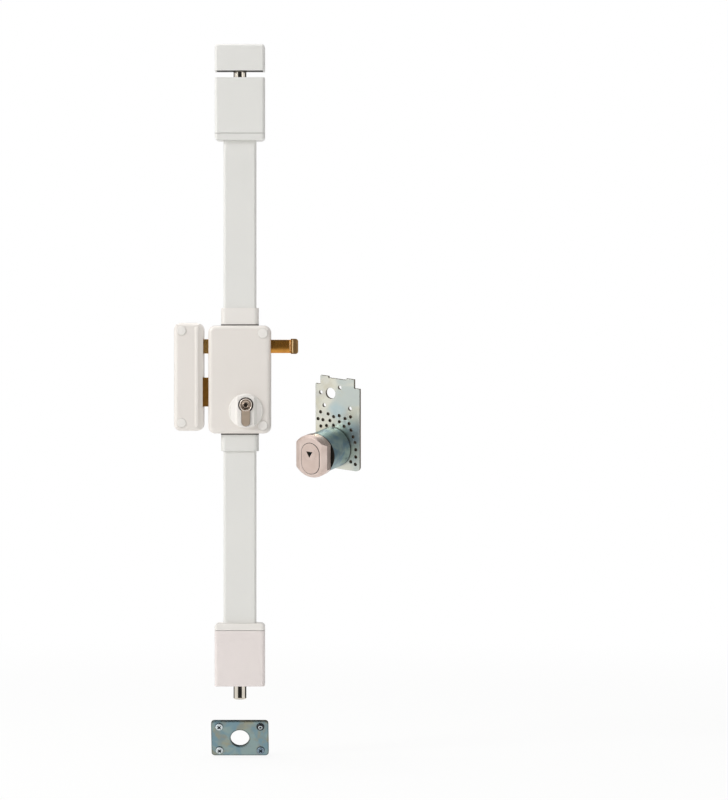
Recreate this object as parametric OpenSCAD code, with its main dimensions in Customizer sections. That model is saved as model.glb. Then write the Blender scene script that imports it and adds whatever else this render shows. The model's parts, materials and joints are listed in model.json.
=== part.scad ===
// Surface-mounted multipoint door lock: a lock case with latch and dead bolt, two vertical
// rods in snap-on covers that shoot a round bolt at the top and the bottom of the door, the
// box keeps and the floor plate that receive them, and a separate cylinder guard.
// Millimetres. X runs to the right, Z up, and Y into the door: the back of the case lies on
// the door face, y = 0, and "depth" in every name is measured from there towards the viewer.
// The lock is drawn locked, seen from inside the room. One turn of the key drives a gear on
// the cylinder, a wheel and two pinions, and the pinions move three racks.

/* [Lock case] */
// Width of the lock case
case_w = 72; // [71:0.5:90]
// Height of the lock case
case_h = 124.5; // [122:0.5:180]
// Depth of the lock case from the door face
case_d = 32; // [32:0.5:40]
// Wall of the case cover
case_wall = 2; // [1.2:0.1:2.4]
// Corner radius of the case outline
case_corner = 8; // [6:0.5:10]
// Rounding of the front edges of the case
case_edge = 5; // [2:0.5:6]
// Thickness of the steel backplate
plate_t = 3; // [2:0.1:4]
// Spacing across of the four fixing holes in the backplate
fix_w = 44; // [40:1:46]
// Spacing up of the four fixing holes in the backplate
fix_h = 84; // [76:1:88]
// Diameter of the fixing holes in the backplate
fix_dia = 5.5; // [4:0.1:6]
// Distance of the cover screws in from the side of the case or keep
cover_screw_side = 9; // [8:0.25:10]
// Distance of the cover screws in from the ends of the case or keep
cover_screw_end = 9.25; // [8.5:0.25:11]
// Length of the cover screws
cover_screw_l = 12; // [8:0.5:16]

/* [Cylinder and escutcheon] */
// Cylinder axis right of the lock's centre line
cyl_x = 7.6; // [7:0.1:9]
// Cylinder axis above the lower end of the case
cyl_rise = 33.05; // [32:0.05:36]
// Fixing screw of the cylinder below the cylinder axis
cyl_screw_drop = 17; // [14:0.5:18]
// Diameter of the round part of the cylinder
cyl_dia = 17; // [16.8:0.1:17.4]
// Width of the leg of the cylinder
cyl_neck = 9.6; // [9:0.1:11]
// Full height of the cylinder profile
cyl_h = 33; // [32:0.1:33.5]
// Depth of the inner end of the cylinder
cyl_front = 42; // [41:0.5:46]
// Length of the cylinder behind the door face
cyl_rear = 58; // [35:1:80]
// Diameter of the plug in the cylinder
plug_dia = 12; // [11.4:0.1:13]
// Diameter of the keyhole in the plug
keyhole_dia = 4.6; // [3:0.1:5]
// Height of the raised ring round the plug
ring_h = 0.8; // [0.3:0.1:1]
// Diameter of the escutcheon
rose_dia = 40; // [38:0.5:42]
// Height of the escutcheon above the case
rose_h = 8; // [6:0.5:8]
// Centre of the escutcheon below the cylinder axis
rose_drop = 6.9; // [5:0.1:8]
// Width of the flat band down the middle of the escutcheon
rose_band = 19; // [18.5:0.5:24]
// Height of the rim under the wings of the escutcheon
rose_rim = 2.2; // [1.5:0.1:3]

/* [Gear drive] */
// Module of the cylinder gear and the drive wheel
key_module = 1.25; // [1.2:0.01:1.27]
// Teeth of the gear on the cylinder
key_teeth = 12; // [12:1:12]
// Teeth of the drive wheel
wheel_teeth = 38; // [37:1:39]
// Thickness of the drive wheel
wheel_t = 5; // [4:0.1:5.4]
// Module of the pinions and the racks
rack_module = 1; // [0.98:0.01:1.02]
// Teeth of the pinion that drives the two rods
rod_teeth = 16; // [16:1:16]
// Teeth of the pinion that drives the dead bolt
dead_teeth = 22; // [21:1:23]
// Radius of the fixed axle of the drive wheel
axle_r = 4; // [3:0.1:4.4]

/* [Dead bolt and latch] */
// Height of the dead bolt
dead_h = 33.4; // [28:0.2:34]
// Thickness of the dead bolt
dead_t = 9.5; // [8:0.1:9.8]
// Middle of the dead bolt above the cylinder axis
dead_rise = 14.8; // [14:0.1:16]
// Reach of the dead bolt out of the case
dead_reach = 21.5; // [19:0.5:21.6]
// Height of the latch
latch_h = 16.4; // [14:0.2:17]
// Thickness of the latch
latch_t = 13; // [10:0.1:13]
// Middle of the latch above the line halfway up the upper half of the case
latch_above = 7.1; // [7:0.1:8]
// Reach of the latch out of the case
latch_reach = 13.5; // [12.5:0.1:14]
// Travel of the latch and its pull
latch_travel = 13; // [10:0.1:13]
// Length of the latch spring at the end of that travel
spring_short = 13; // [12:0.5:14]
// Height of the latch pull
pull_h = 15.4; // [14:0.2:16.4]
// Thickness of the latch pull
pull_t = 8; // [6:0.1:9]
// Reach of the latch pull out of the case
pull_reach = 31.5; // [26:0.5:36]
// Length of the thicker end of the latch pull
pull_end = 8.3; // [6:0.1:10]
// Height of the thicker end of the latch pull
pull_end_h = 17.4; // [16.6:0.2:20]
// Rise of the crowned front of the latch pull
pull_crown = 1.2; // [0.4:0.1:2]
// Fillet between the bar of the latch pull and its end
pull_fillet = 1.6; // [0.5:0.1:3]

/* [Rods and round bolts] */
// Width of the flat rods
rod_w = 16; // [15:0.5:17]
// Thickness of the flat rods
rod_t = 4; // [3:0.1:4.4]
// Diameter of the round bolts
bolt_dia = 15; // [13:0.1:15.6]
// Length of the round bolts
bolt_l = 63; // [60:0.5:66]
// Reach of the round bolts out of their housings
bolt_reach = 16; // [15.9:0.1:18]
// Case centre to the outer end of the upper housing
upper_reach = 348.3; // [300:0.1:1100]
// Case centre to the outer end of the lower housing
lower_reach = 353.6; // [300:0.1:1100]

/* [Rod covers and housings] */
// Width of the rod covers
bar_w = 37.5; // [36:0.5:42]
// Depth of the rod covers
bar_d = 22; // [21:0.5:24]
// Wall of the rod covers
bar_wall = 1.5; // [1.2:0.1:1.8]
// Rounding of the front edges of the rod covers
bar_edge = 3; // [2:0.1:4]
// Length of the sleeves between the case and the rod covers
sleeve_l = 20.3; // [16:0.1:26]
// Wall of the sleeves
sleeve_wall = 2.5; // [2:0.1:3]
// Open joint between a sleeve and the case
sleeve_joint = 0.9; // [0.4:0.1:1.5]
// Width of the bolt housings and of the top keep
house_w = 57.6; // [54:0.2:66]
// Depth of the bolt housings
house_d = 28; // [27:0.5:32]
// Length of the bolt housings with their end caps
house_l = 72.4; // [70:0.2:90]
// Length of the end cap of a housing
house_cap = 7.8; // [7:0.1:11]
// Radius of the outer corners of the end caps
house_corner = 4.5; // [3.5:0.1:7]
// Open joint between a housing and its end cap
house_joint = 0.5; // [0.2:0.1:0.8]
// Wall of the housings
house_wall = 2; // [1.5:0.1:2.5]
// Rounding of the front edges of the housings
house_edge = 3.5; // [2:0.1:5]

/* [Keeps and floor plate] */
// Gap between the lock case and the side keep
keep_gap = 5.5; // [4:0.1:7]
// Width of the side keep
keep_w = 34; // [30:0.5:44]
// Height of the side keep
keep_h = 124.5; // [122:0.5:150]
// Rise of the side keep's middle above the case's middle
keep_rise = 3.1; // [0:0.1:4]
// Width of the bowed lead-in on the lock side of the side keep
keep_lead = 10.3; // [6:0.1:11]
// Radius of the bow of the lead-in
keep_bow = 16; // [12:0.5:24]
// Gap between the upper housing and the top keep
top_gap = 7.9; // [4:0.1:9]
// Height of the top keep
top_h = 30.7; // [28:0.1:44]
// Gap between the lower housing and the floor plate
floor_gap = 37.3; // [18:0.1:60]
// Width of the floor plate
floor_w = 66.2; // [64:0.2:80]
// Height of the floor plate
floor_h = 44.6; // [42:0.2:56]
// Thickness of the floor plate
floor_t = 4; // [2:0.1:5]
// Diameter of the bolt hole in the floor plate
floor_hole = 21.8; // [18:0.2:24]
// Spacing across of the floor plate's screws
floor_screw_w = 47.6; // [46:0.2:50]
// Spacing up of the floor plate's screws
floor_screw_h = 30.8; // [29:0.2:32]
// Lean of the floor plate towards the viewer
floor_lean = 24; // [0:1:30]

/* [Cylinder guard] */
// Place of the guard right of the lock's centre line
guard_x = 109.4; // [100:0.1:140]
// Place of the guard below the middle of the case
guard_drop = 77; // [60:0.1:100]
// Place of the guard in front of the door face
guard_fwd = 20; // [20:0.5:40]
// Turn of the guard towards the left
guard_turn = 30; // [20:1:40]
// Nod of the guard towards the viewer
guard_nod = 14; // [0:1:20]
// Width of the guard plate
guard_w = 58.6; // [57:0.2:66]
// Height of the guard plate
guard_h = 108; // [106:0.5:120]
// Thickness of the guard plate
guard_t = 3; // [2:0.1:4]
// Distance of the large hole from the top edge of the guard plate
guard_hole_drop = 19.6; // [18:0.2:24]
// Distance of the large hole from the left edge of the guard plate
guard_hole_side = 20.1; // [19:0.1:24]
// Diameter of the large hole in the guard plate
guard_hole_dia = 13; // [11:0.5:15]
// Diameter of the small blind holes in the guard plate
dot_dia = 4; // [2.5:0.1:4.2]
// Diameter of the guard barrel
barrel_dia = 47; // [45:0.5:49]
// Length of the guard barrel
barrel_l = 38; // [24:0.5:44]
// Bore of the guard for the cylinder end
guard_bore = 30; // [26:0.5:31]
// Diameter of the guard head
head_dia = 50; // [48.5:0.5:52]
// Width of the guard head across its flats
head_flats = 41; // [39:0.5:44]
// Length of the guard head
head_l = 13.4; // [12:0.2:20]
// Rim of the guard head beside its inset
inset_side = 8.3; // [7.5:0.1:9.5]
// Rim of the guard head above and below its inset, on average
inset_rim = 6.4; // [6.2:0.1:8]

/* [Hidden] */
$fn = 64;

// Running clearance all round a sliding bolt
slide_gap = 0.3;
// Radial clearance of a turning shaft
turn_gap = 0.05;
// Clearance of a cover round what it is pushed over
cover_gap = 0.25;
// Depth between two layers that move past each other
layer_gap = 0.5;
// Overrun of a cut past the face that it leaves
over = 1;

// Depth layers, from the door face forward
wheel_d0 = plate_t + 1;
wheel_d1 = wheel_d0 + wheel_t;
rod_d0 = wheel_d1 + layer_gap;
rod_d1 = rod_d0 + rod_t;
rod_mid = (rod_d0 + rod_d1) / 2;
dead_rack_d0 = rod_d1 + layer_gap;
pinion_d1 = dead_rack_d0 + 3;
clip_t = 0.8;
slide_d0 = pinion_d1 + clip_t + 2 * layer_gap + 0.1;
slide_t = 3;
slide_d1 = slide_d0 + slide_t;
dead_d1 = slide_d0 + dead_t;
case_in = case_d - case_wall;
case_in_edge = 1;

// Gear geometry
press_angle = 25;
tooth_add = 0.8;
tooth_ded = 1.05;
backlash = 0.12;
key_rp = key_module * key_teeth / 2;
wheel_rp = key_module * wheel_teeth / 2;
rod_rp = rack_module * rod_teeth / 2;
dead_rp = rack_module * dead_teeth / 2;
axis_span = key_rp + wheel_rp;
cyl_z = cyl_rise - case_h / 2;
wheel_z = cyl_z + sqrt(axis_span * axis_span - cyl_x * cyl_x);
wheel_turn = 360 * key_teeth / wheel_teeth;
rod_throw = rod_rp * wheel_turn * PI / 180;
dead_throw = dead_rp * wheel_turn * PI / 180;

// Places inside the case
tray_w = case_w - 2 * case_wall - 1;
tray_h = case_h - 2 * case_wall - 1;
tray_l = -tray_w / 2;
flange_t = 2;
dead_x0 = -case_w / 2 - dead_reach;
dead_z = cyl_z + dead_rise;
dead_tail_x = tray_l + flange_t + 8.5;
slide_x0 = tray_l + flange_t + 1;
arm_x1 = 6;
rack_z = wheel_z + dead_rp;
latch_rise = case_h / 4 + latch_above;
rail_t = 2;
rail_z = latch_rise - latch_h / 2 - slide_gap - rail_t;
slide_top = rail_z - 0.2;
latch_x0 = -case_w / 2 - latch_reach;
latch_x1 = -14;
latch_d1 = case_in - 2;
latch_d0 = latch_d1 - latch_t;
latch_mid = (latch_d0 + latch_d1) / 2;
tail_r = 4;
stop_x = latch_x1 + latch_travel + spring_short;
stop_t = 3;
shank_x0 = stop_x + stop_t + 3;
pull_x1 = case_w / 2 + pull_reach;
spring_wire = 1.4;
spring_r = tail_r + 0.6 + spring_wire / 2;

// Places along the rods
sleeve_w = bar_w + 2 * (cover_gap + sleeve_wall);
sleeve_d = bar_d + cover_gap + sleeve_wall;
bar_lap = 16;
bar_z0 = case_h / 2 + sleeve_l - bar_lap;
crank_z = 28;
crank_l = 16;
guide_inset = 7;
guide_wall = 3;
low_crank = rod_throw + max(cyl_h - cyl_dia / 2 - cyl_z + 3,
                            case_h / 2 - guide_inset + guide_wall + layer_gap);
bolt_slot = 14;
bolt_pin_r = 2;
house_in_w = house_w - 2 * house_wall;
guide_l = 24;
guide_top = house_wall + cover_gap;
strike_rim = 16.6;

// Screws
screw_r = 2;
cap_r = 5.75;
cap_seat = 1.2;
cover_head_r = 4;
post_r = 3.5;
cover_screw_x = case_w / 2 - cover_screw_side;
cover_screw_z = case_h / 2 - cover_screw_end;

// The cylinder's fixing screw runs level through the lug at the edge of the backplate
lug_x0 = tray_w / 2 - 5;
lug_x1 = tray_w / 2 - 2.5;
lug_half = 6;
cyl_screw_d = (wheel_d0 + wheel_d1) / 2;
cyl_screw_z = cyl_z - cyl_screw_drop;
cyl_screw_r = 2.5;

// Shapes used by several pieces

// Moves a solid drawn on the XY plane onto the door, its z becoming depth
module lay() {
    rotate([90, 0, 0]) children();
}

// A flat shape, drawn as seen from the front, filling a range of depth
module slab(d0, d1) {
    lay() translate([0, 0, d0]) linear_extrude(d1 - d0) children();
}

// A round pillar that stands forward at x, z between two depths
module pillar(x, z, r, d0, d1) {
    translate([x, 0, z]) lay() translate([0, 0, d0]) cylinder(r = r, h = d1 - d0);
}

// A box between two corners in x, depth and z
module block(x0, x1, d0, d1, z0, z1) {
    translate([x0, -d1, z0]) cube([x1 - x0, d1 - d0, z1 - z0]);
}

// A centred rectangle with round corners
module round_rect(w, h, r) {
    square([w - 2 * r, h], center = true);
    square([w, h - 2 * r], center = true);
    for (sx = [-1, 1], sy = [-1, 1])
        translate([sx * (w / 2 - r), sy * (h / 2 - r)]) circle(r);
}

// A cross-section that stands on the door: front corners rounded, back reaching behind y = 0
module front_section(w, d, r, back = 0) {
    translate([-w / 2, r - d]) square([w, d - r + back]);
    translate([r - w / 2, -d]) square([w - 2 * r, d + back]);
    for (s = [-1, 1]) translate([s * (w / 2 - r), r - d]) circle(r);
}

// Half of a round corner's section, turned to make the corner
module corner_section(r, d, edge, back = 0) {
    intersection() {
        translate([0, -back]) square([r, d + back]);
        union() {
            translate([0, -back]) square([r, d - edge + back]);
            translate([0, -back]) square([r - edge, d + back]);
            translate([r - edge, d - edge]) circle(edge);
        }
    }
}

// A box on the door with a rounded outline and rounded front edges
module soft_box(w, h, d, corner, edge, back = 0) {
    translate([0, 0, corner - h / 2])
        linear_extrude(h - 2 * corner) front_section(w, d, edge, back);
    rotate([0, 90, 0]) translate([0, 0, corner - w / 2])
        linear_extrude(w - 2 * corner) front_section(h, d, edge, back);
    for (sx = [-1, 1], sz = [-1, 1])
        translate([sx * (w / 2 - corner), 0, sz * (h / 2 - corner)])
            lay() rotate_extrude() corner_section(corner, d, edge, back);
}

// The cylinder's profile, grown all round by g
module cylinder_profile(g = 0) {
    translate([cyl_x, cyl_z]) {
        circle(cyl_dia / 2 + g);
        translate([-cyl_neck / 2 - g, cyl_dia / 2 - cyl_h + cyl_neck / 2])
            square([cyl_neck + 2 * g, cyl_h - cyl_dia / 2 - cyl_neck / 2]);
        translate([0, cyl_dia / 2 - cyl_h + cyl_neck / 2]) circle(cyl_neck / 2 + g);
    }
}

// Half of the angle that a tooth takes at radius r
function tooth_half(r, m, n) =
    let (base = m * n / 2 * cos(press_angle), a = acos(min(1, base / max(r, base))))
    90 / n - backlash / 2 / (m * n / 2) * 180 / PI
    + (tan(press_angle) * 180 / PI - press_angle) - (tan(a) * 180 / PI - a);

// Outline of a spur gear with one tooth pointing along the given direction
function gear_outline(m, n, toward) =
    let (
        rp = m * n / 2, root = rp - tooth_ded * m, tip = rp + tooth_add * m,
        base = max(root + 0.01, rp * cos(press_angle)), steps = 4,
        rise = [for (i = [0 : steps]) base + (tip - base) * i / steps],
        flank = concat([root], rise)
    )
    [for (t = [0 : n - 1], side = [-1, 1], i = [0 : steps + 1])
        let (
            r = side < 0 ? flank[i] : flank[steps + 1 - i],
            a = toward + 360 * t / n + side * tooth_half(max(r, base), m, n)
        )
        [r * cos(a), r * sin(a)]];

module gear(m, n, toward) {
    polygon(gear_outline(m, n, toward));
}

// Teeth of a rack along +X, their pitch line on y = 0 and tips up, a gap centred on x = 0;
// their feet reach a little into the bar that carries them
module rack_teeth(m, first, last) {
    half = PI * m / 4 - backlash / 4;
    top = half - tooth_add * m * tan(press_angle);
    foot = half + tooth_ded * m * tan(press_angle);
    sunk = tooth_ded * m + 0.3;
    for (i = [first : last])
        translate([(i + 0.5) * PI * m, 0])
            polygon([[-foot, -sunk], [-foot, -tooth_ded * m], [-top, tooth_add * m],
                     [top, tooth_add * m], [foot, -tooth_ded * m], [foot, -sunk]]);
}

// Lock case: backplate, inner guides and cover

module plate_outline() {
    round_rect(tray_w, tray_h, case_corner - case_wall);
}

module backplate() {
    color("#b9bec2") difference() {
        union() {
            slab(0, plate_t) plate_outline();
            // Flange that the latch and the dead bolt slide through
            block(tray_l, tray_l + flange_t, plate_t, case_in - cover_gap,
                  case_corner - case_h / 2, case_h / 2 - case_corner);
            for (s = [-1, 1])
                pillar(cover_screw_x, s * cover_screw_z, post_r, plate_t, case_in);
            // Lug for the cylinder screw
            block(lug_x0, lug_x1, plate_t, wheel_d1 + 4,
                  cyl_screw_z - lug_half, cyl_screw_z + lug_half);
        }
        slab(-over, plate_t + over) cylinder_profile(cover_gap);
        for (sx = [-1, 1], sz = [-1, 1])
            pillar(sx * fix_w / 2, sz * fix_h / 2, fix_dia / 2, -over, plate_t + over);
        for (s = [-1, 1])
            pillar(cover_screw_x, s * cover_screw_z, screw_r, plate_t, case_d);
        block(tray_l - over, tray_l + flange_t + over,
              slide_d0 - slide_gap, dead_d1 + slide_gap,
              dead_z - dead_h / 2 - slide_gap, dead_z + dead_h / 2 + slide_gap);
        block(tray_l - over, tray_l + flange_t + over,
              latch_d0 - slide_gap, latch_d1 + slide_gap,
              latch_rise - latch_h / 2 - slide_gap, latch_rise + latch_h / 2 + slide_gap);
        translate([0, -cyl_screw_d, cyl_screw_z]) rotate([0, 90, 0])
            cylinder(r = cyl_screw_r + 0.1, h = case_w / 2);
    }
}

// Bridge over the rods: the dead bolt's rack runs under it, the latch on top of it, and
// its upright lug takes the thrust of the latch spring and guides the latch rod
module slide_guide() {
    leg = 6;
    half = 28;
    color("#a9aeb2") difference() {
        union() {
            block(-half, half, rod_d1 + layer_gap, latch_d1, rail_z, rail_z + rail_t);
            for (x = [-half, half - leg])
                block(x, x + leg, plate_t, rod_d1 + layer_gap, rail_z, rail_z + rail_t);
            block(stop_x, stop_x + stop_t, rod_d1 + layer_gap, latch_d1,
                  rail_z, latch_rise + latch_h / 2);
        }
        translate([stop_x - over, -latch_mid, latch_rise]) rotate([0, 90, 0])
            cylinder(r = tail_r + 0.15, h = stop_t + 2 * over);
    }
}

module case_cover() {
    color("#f1f0ec") difference() {
        soft_box(case_w, case_h, case_d, case_corner, case_edge);
        soft_box(case_w - 2 * case_wall, case_h - 2 * case_wall, case_in,
                 case_corner - case_wall, case_in_edge, over);
        // Ways out for the dead bolt, the latch and its pull
        block(-case_w / 2 - over, tray_l, slide_d0 - slide_gap, dead_d1 + slide_gap,
              dead_z - dead_h / 2 - slide_gap, dead_z + dead_h / 2 + slide_gap);
        block(-case_w / 2 - over, tray_l, latch_d0 - slide_gap, latch_d1 + slide_gap,
              latch_rise - latch_h / 2 - slide_gap, latch_rise + latch_h / 2 + slide_gap);
        block(tray_w / 2, case_w / 2 + over,
              latch_mid - pull_t / 2 - slide_gap, latch_mid + pull_t / 2 + slide_gap,
              latch_rise - pull_h / 2 - slide_gap, latch_rise + pull_h / 2 + slide_gap);
        // Ways out for the rods, inside the sleeves
        block(-rod_w - layer_gap, rod_w + layer_gap, -over, rod_d1 + 2,
              -case_h / 2 - over, case_h / 2 + over);
        slab(case_in - over, case_d + over) cylinder_profile(cover_gap);
        for (s = [-1, 1]) {
            pillar(cover_screw_x, s * cover_screw_z, screw_r + 0.3, case_in - over, case_d + over);
            pillar(cover_screw_x, s * cover_screw_z, cap_r + 0.1, case_d - cap_seat, case_d + over);
        }
    }
}

module cover_screw(x, z) {
    seat = case_d - cap_seat;
    pillar(x, z, screw_r - turn_gap, seat - cover_screw_l, seat);
    pillar(x, z, cover_head_r, seat, seat + 0.9);
}

module case_screws() {
    color("#c9ccd0") for (s = [-1, 1])
        cover_screw(cover_screw_x, s * cover_screw_z);
}

// A low dome with a thin rim that hides a screw
module screw_cap(x, z, r, face) {
    translate([x, 0, z]) lay() translate([0, 0, face]) difference() {
        union() {
            translate([0, 0, -0.2]) cylinder(r = r - turn_gap, h = 0.7);
            translate([0, 0, 0.5]) cylinder(r1 = r - turn_gap, r2 = r - 0.8, h = 0.6);
        }
        translate([0, 0, -0.3]) cylinder(r = r - 1, h = 0.5);
    }
}

module case_caps() {
    color("#e9e8e4") for (s = [-1, 1])
        screw_cap(cover_screw_x, s * cover_screw_z, cap_r, case_d);
}

// Round rose: a flat band down the middle, and on each side a hollow wing that falls
// steeply next to the band and runs out flat to a round rim
module escutcheon() {
    edge = 1;
    band = rose_band / 2;
    rim = rose_dia / 2 - 2.5;
    color("#f3f2ee") difference() {
        translate([cyl_x, 0, cyl_z - rose_drop]) intersection() {
            lay() translate([0, 0, case_d]) union() {
                cylinder(d = rose_dia, h = rose_rim - edge);
                translate([0, 0, rose_rim - edge])
                    cylinder(d1 = rose_dia, d2 = rose_dia - 2 * edge, h = edge);
                cylinder(d = rose_dia - 2 * edge, h = rose_h - edge);
                translate([0, 0, rose_h - edge])
                    cylinder(d1 = rose_dia - 2 * edge, d2 = rose_dia - 4 * edge, h = edge);
            }
            translate([0, -case_d, -rose_dia]) linear_extrude(2 * rose_dia) union() {
                translate([-rose_dia, -rose_rim]) square([2 * rose_dia, rose_rim]);
                polygon([[-rim, -rose_rim], [-band - (rim - band) * 0.4, -(rose_h + rose_rim) / 2 + 0.8],
                         [-band, -rose_h], [band, -rose_h],
                         [band + (rim - band) * 0.4, -(rose_h + rose_rim) / 2 + 0.8],
                         [rim, -rose_rim]]);
            }
        }
        slab(case_d - over, case_d + rose_h + over) cylinder_profile(cover_gap);
    }
}

// Cylinder

gear_slot_gap = 0.8;

module cylinder_body() {
    slot_r = key_rp + key_module * tooth_add + layer_gap;
    ring_in = plug_dia / 2;
    ring_out = cyl_dia / 2 - collar_groove;
    ring_r = (ring_out - ring_in) / 2;
    color("#c8c4bb") difference() {
        union() {
            slab(-cyl_rear, cyl_front) cylinder_profile();
            // Polished ring round the plug
            translate([cyl_x, 0, cyl_z]) lay() translate([0, 0, cyl_front]) rotate_extrude()
                intersection() {
                    translate([ring_in, -ring_r]) square([2 * ring_r, 2 * ring_r + ring_h]);
                    translate([ring_in + ring_r, ring_h - ring_r]) circle(ring_r);
                }
        }
        pillar(cyl_x, cyl_z, plug_dia / 2, -cyl_rear - over, cyl_front + over);
        // Groove round the collar of the plug, which ends at the leg of the profile
        translate([cyl_x, 0, cyl_z]) lay() difference() {
            translate([0, 0, cyl_front - collar_h])
                cylinder(r = cyl_dia / 2 + over, h = collar_h + over);
            cylinder(r = ring_out, h = cyl_front + over);
            translate([-cyl_neck / 2, -cyl_h, 0]) cube([cyl_neck, cyl_h, cyl_front + over]);
        }
        // Slot for the gear
        block(cyl_x - cyl_dia, cyl_x + cyl_dia, wheel_d0 - gear_slot_gap,
              wheel_d1 + gear_slot_gap, cyl_z - slot_r, cyl_z + cyl_dia);
        // Tapped hole for the fixing screw
        translate([cyl_x - 1, -cyl_screw_d, cyl_screw_z]) rotate([0, 90, 0])
            cylinder(r = cyl_screw_r, h = cyl_neck);
    }
}

// A plug drawn from its inner end at height 0 to its face: a bevelled rim, a shallow dish and
// a raised bead round the mouth of the keyhole
module plug(l) {
    keyway = 20;
    bevel = 0.9;
    dish = 0.6;
    bead_r = 0.5;
    bead_at = keyhole_dia / 2 + bead_r + 0.15;
    rim_r = plug_dia / 2 - turn_gap;
    difference() {
        union() {
            rotate_extrude() polygon([[0, 0], [rim_r, 0], [rim_r, l - bevel],
                                      [rim_r - bevel, l], [bead_at, l - dish], [0, l - dish]]);
            translate([0, 0, l - dish]) rotate_extrude() translate([bead_at, 0]) circle(bead_r);
        }
        translate([0, 0, l - keyway]) cylinder(d = keyhole_dia, h = keyway + over);
        // Straight part of the keyhole, behind the face
        translate([-keyhole_dia / 6, -keyhole_dia * 0.72, l - keyway])
            cube([keyhole_dia / 3, keyhole_dia * 0.72, keyway - 2]);
    }
}

plug_tail_r = 4.5;
plug_out = 0.3;
collar_groove = 1.2;
collar_h = 3.2;

module cylinder_plug() {
    color("#d9d8d4") union() {
        translate([cyl_x, 0, cyl_z]) lay() translate([0, 0, wheel_d1 + gear_slot_gap])
            plug(cyl_front + plug_out - wheel_d1 - gear_slot_gap);
        pillar(cyl_x, cyl_z, plug_tail_r, wheel_d0, wheel_d1 + gear_slot_gap);
    }
}

module cylinder_rear_plug() {
    color("#d9d8d4") translate([cyl_x, 0, cyl_z]) rotate([-90, 0, 0])
        translate([0, 0, gear_slot_gap - wheel_d0])
            mirror([0, 1, 0]) plug(cyl_rear + plug_out - gear_slot_gap + wheel_d0);
}

module cylinder_gear() {
    away = atan2(wheel_z - cyl_z, -cyl_x);
    color("#d6b56c") difference() {
        translate([cyl_x, 0, cyl_z]) slab(wheel_d0, wheel_d1)
            gear(key_module, key_teeth, away + 180 / key_teeth);
        pillar(cyl_x, cyl_z, plug_tail_r + 0.02, wheel_d0 - over, wheel_d1 + over);
    }
}

module cylinder_screw() {
    head_h = 2.4;
    head_r = cyl_screw_d - plate_t - slide_gap;
    key_r = 1.6;
    color("#c9ccd0") translate([0, -cyl_screw_d, cyl_screw_z])
        rotate([0, 90, 0]) difference() {
            union() {
                translate([0, 0, cyl_x + 0.5])
                    cylinder(r = cyl_screw_r - 0.1, h = lug_x1 - cyl_x - 0.5);
                translate([0, 0, lug_x1]) cylinder(r = head_r, h = head_h);
            }
            translate([0, 0, lug_x1 + head_h / 2]) cylinder(r = key_r, h = head_h, $fn = 6);
        }
}

// Drive train

module drive_axle() {
    color("#8f969c") difference() {
        pillar(0, wheel_z, axle_r, plate_t, pinion_d1 + clip_t + layer_gap);
        translate([0, 0, wheel_z]) lay() translate([0, 0, pinion_d1]) difference() {
            cylinder(r = axle_r + over, h = clip_t);
            cylinder(r = axle_r - 0.8, h = clip_t);
        }
    }
}

module axle_clip() {
    color("#4a4f54") translate([0, 0, wheel_z]) lay() translate([0, 0, pinion_d1 + turn_gap])
        difference() {
            cylinder(r = axle_r + 2, h = clip_t - 2 * turn_gap);
            translate([0, 0, -over]) cylinder(r = axle_r - 0.75, h = clip_t + 2 * over);
            translate([-axle_r / 2, -2 * axle_r - 4, -over])
                cube([axle_r, 2 * axle_r + 4 - axle_r + 1.2, clip_t + 2 * over]);
        }
}

hub_flats = 12;

module drive_wheel() {
    toward = atan2(cyl_z - wheel_z, cyl_x);
    holes = 6;
    color("#b4a07a") difference() {
        translate([0, 0, wheel_z]) slab(wheel_d0, wheel_d1)
            gear(key_module, wheel_teeth, toward);
        translate([0, 0, wheel_z]) slab(wheel_d0 - over, wheel_d1 + over)
            circle(d = (hub_flats + 2 * turn_gap) / cos(30), $fn = 6);
        for (i = [0 : holes - 1])
            pillar(wheel_rp * 0.6 * cos(60 * i), wheel_z + wheel_rp * 0.6 * sin(60 * i),
                   wheel_rp * 0.16, wheel_d0 - over, wheel_d1 + over);
    }
}

// The two pinions and the six-sided hub that carries the wheel, in one piece
module drive_pinions() {
    color("#9aa1a7") translate([0, 0, wheel_z]) difference() {
        union() {
            slab(wheel_d0, wheel_d1) circle(d = hub_flats / cos(30), $fn = 6);
            slab(wheel_d1, rod_d1 + layer_gap / 2) gear(rack_module, rod_teeth, 0);
            slab(rod_d1 + layer_gap / 2, pinion_d1) gear(rack_module, dead_teeth, 90);
        }
        pillar(0, 0, axle_r + turn_gap, wheel_d0 - over, pinion_d1 + over);
    }
}

// Dead bolt

module dead_bolt() {
    chamfer = 1.5;
    color("#c99a4b") difference() {
        union() {
            translate([0, 0, dead_z - dead_h / 2]) linear_extrude(dead_h)
                polygon([[dead_x0 + chamfer, -slide_d0], [dead_x0, -slide_d0 - chamfer],
                         [dead_x0, chamfer - dead_d1], [dead_x0 + chamfer, -dead_d1],
                         [dead_tail_x, -dead_d1], [dead_tail_x, -slide_d1],
                         [slide_x0, -slide_d1], [slide_x0, -slide_d0]]);
        }
        for (s = [-1, 1])
            pillar(rivet_x, dead_z + s * dead_h / 4, rivet_r, slide_d1 - over, dead_d1 + over);
    }
}

rivet_x = (slide_x0 + dead_tail_x) / 2;
rivet_r = 2;

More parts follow.
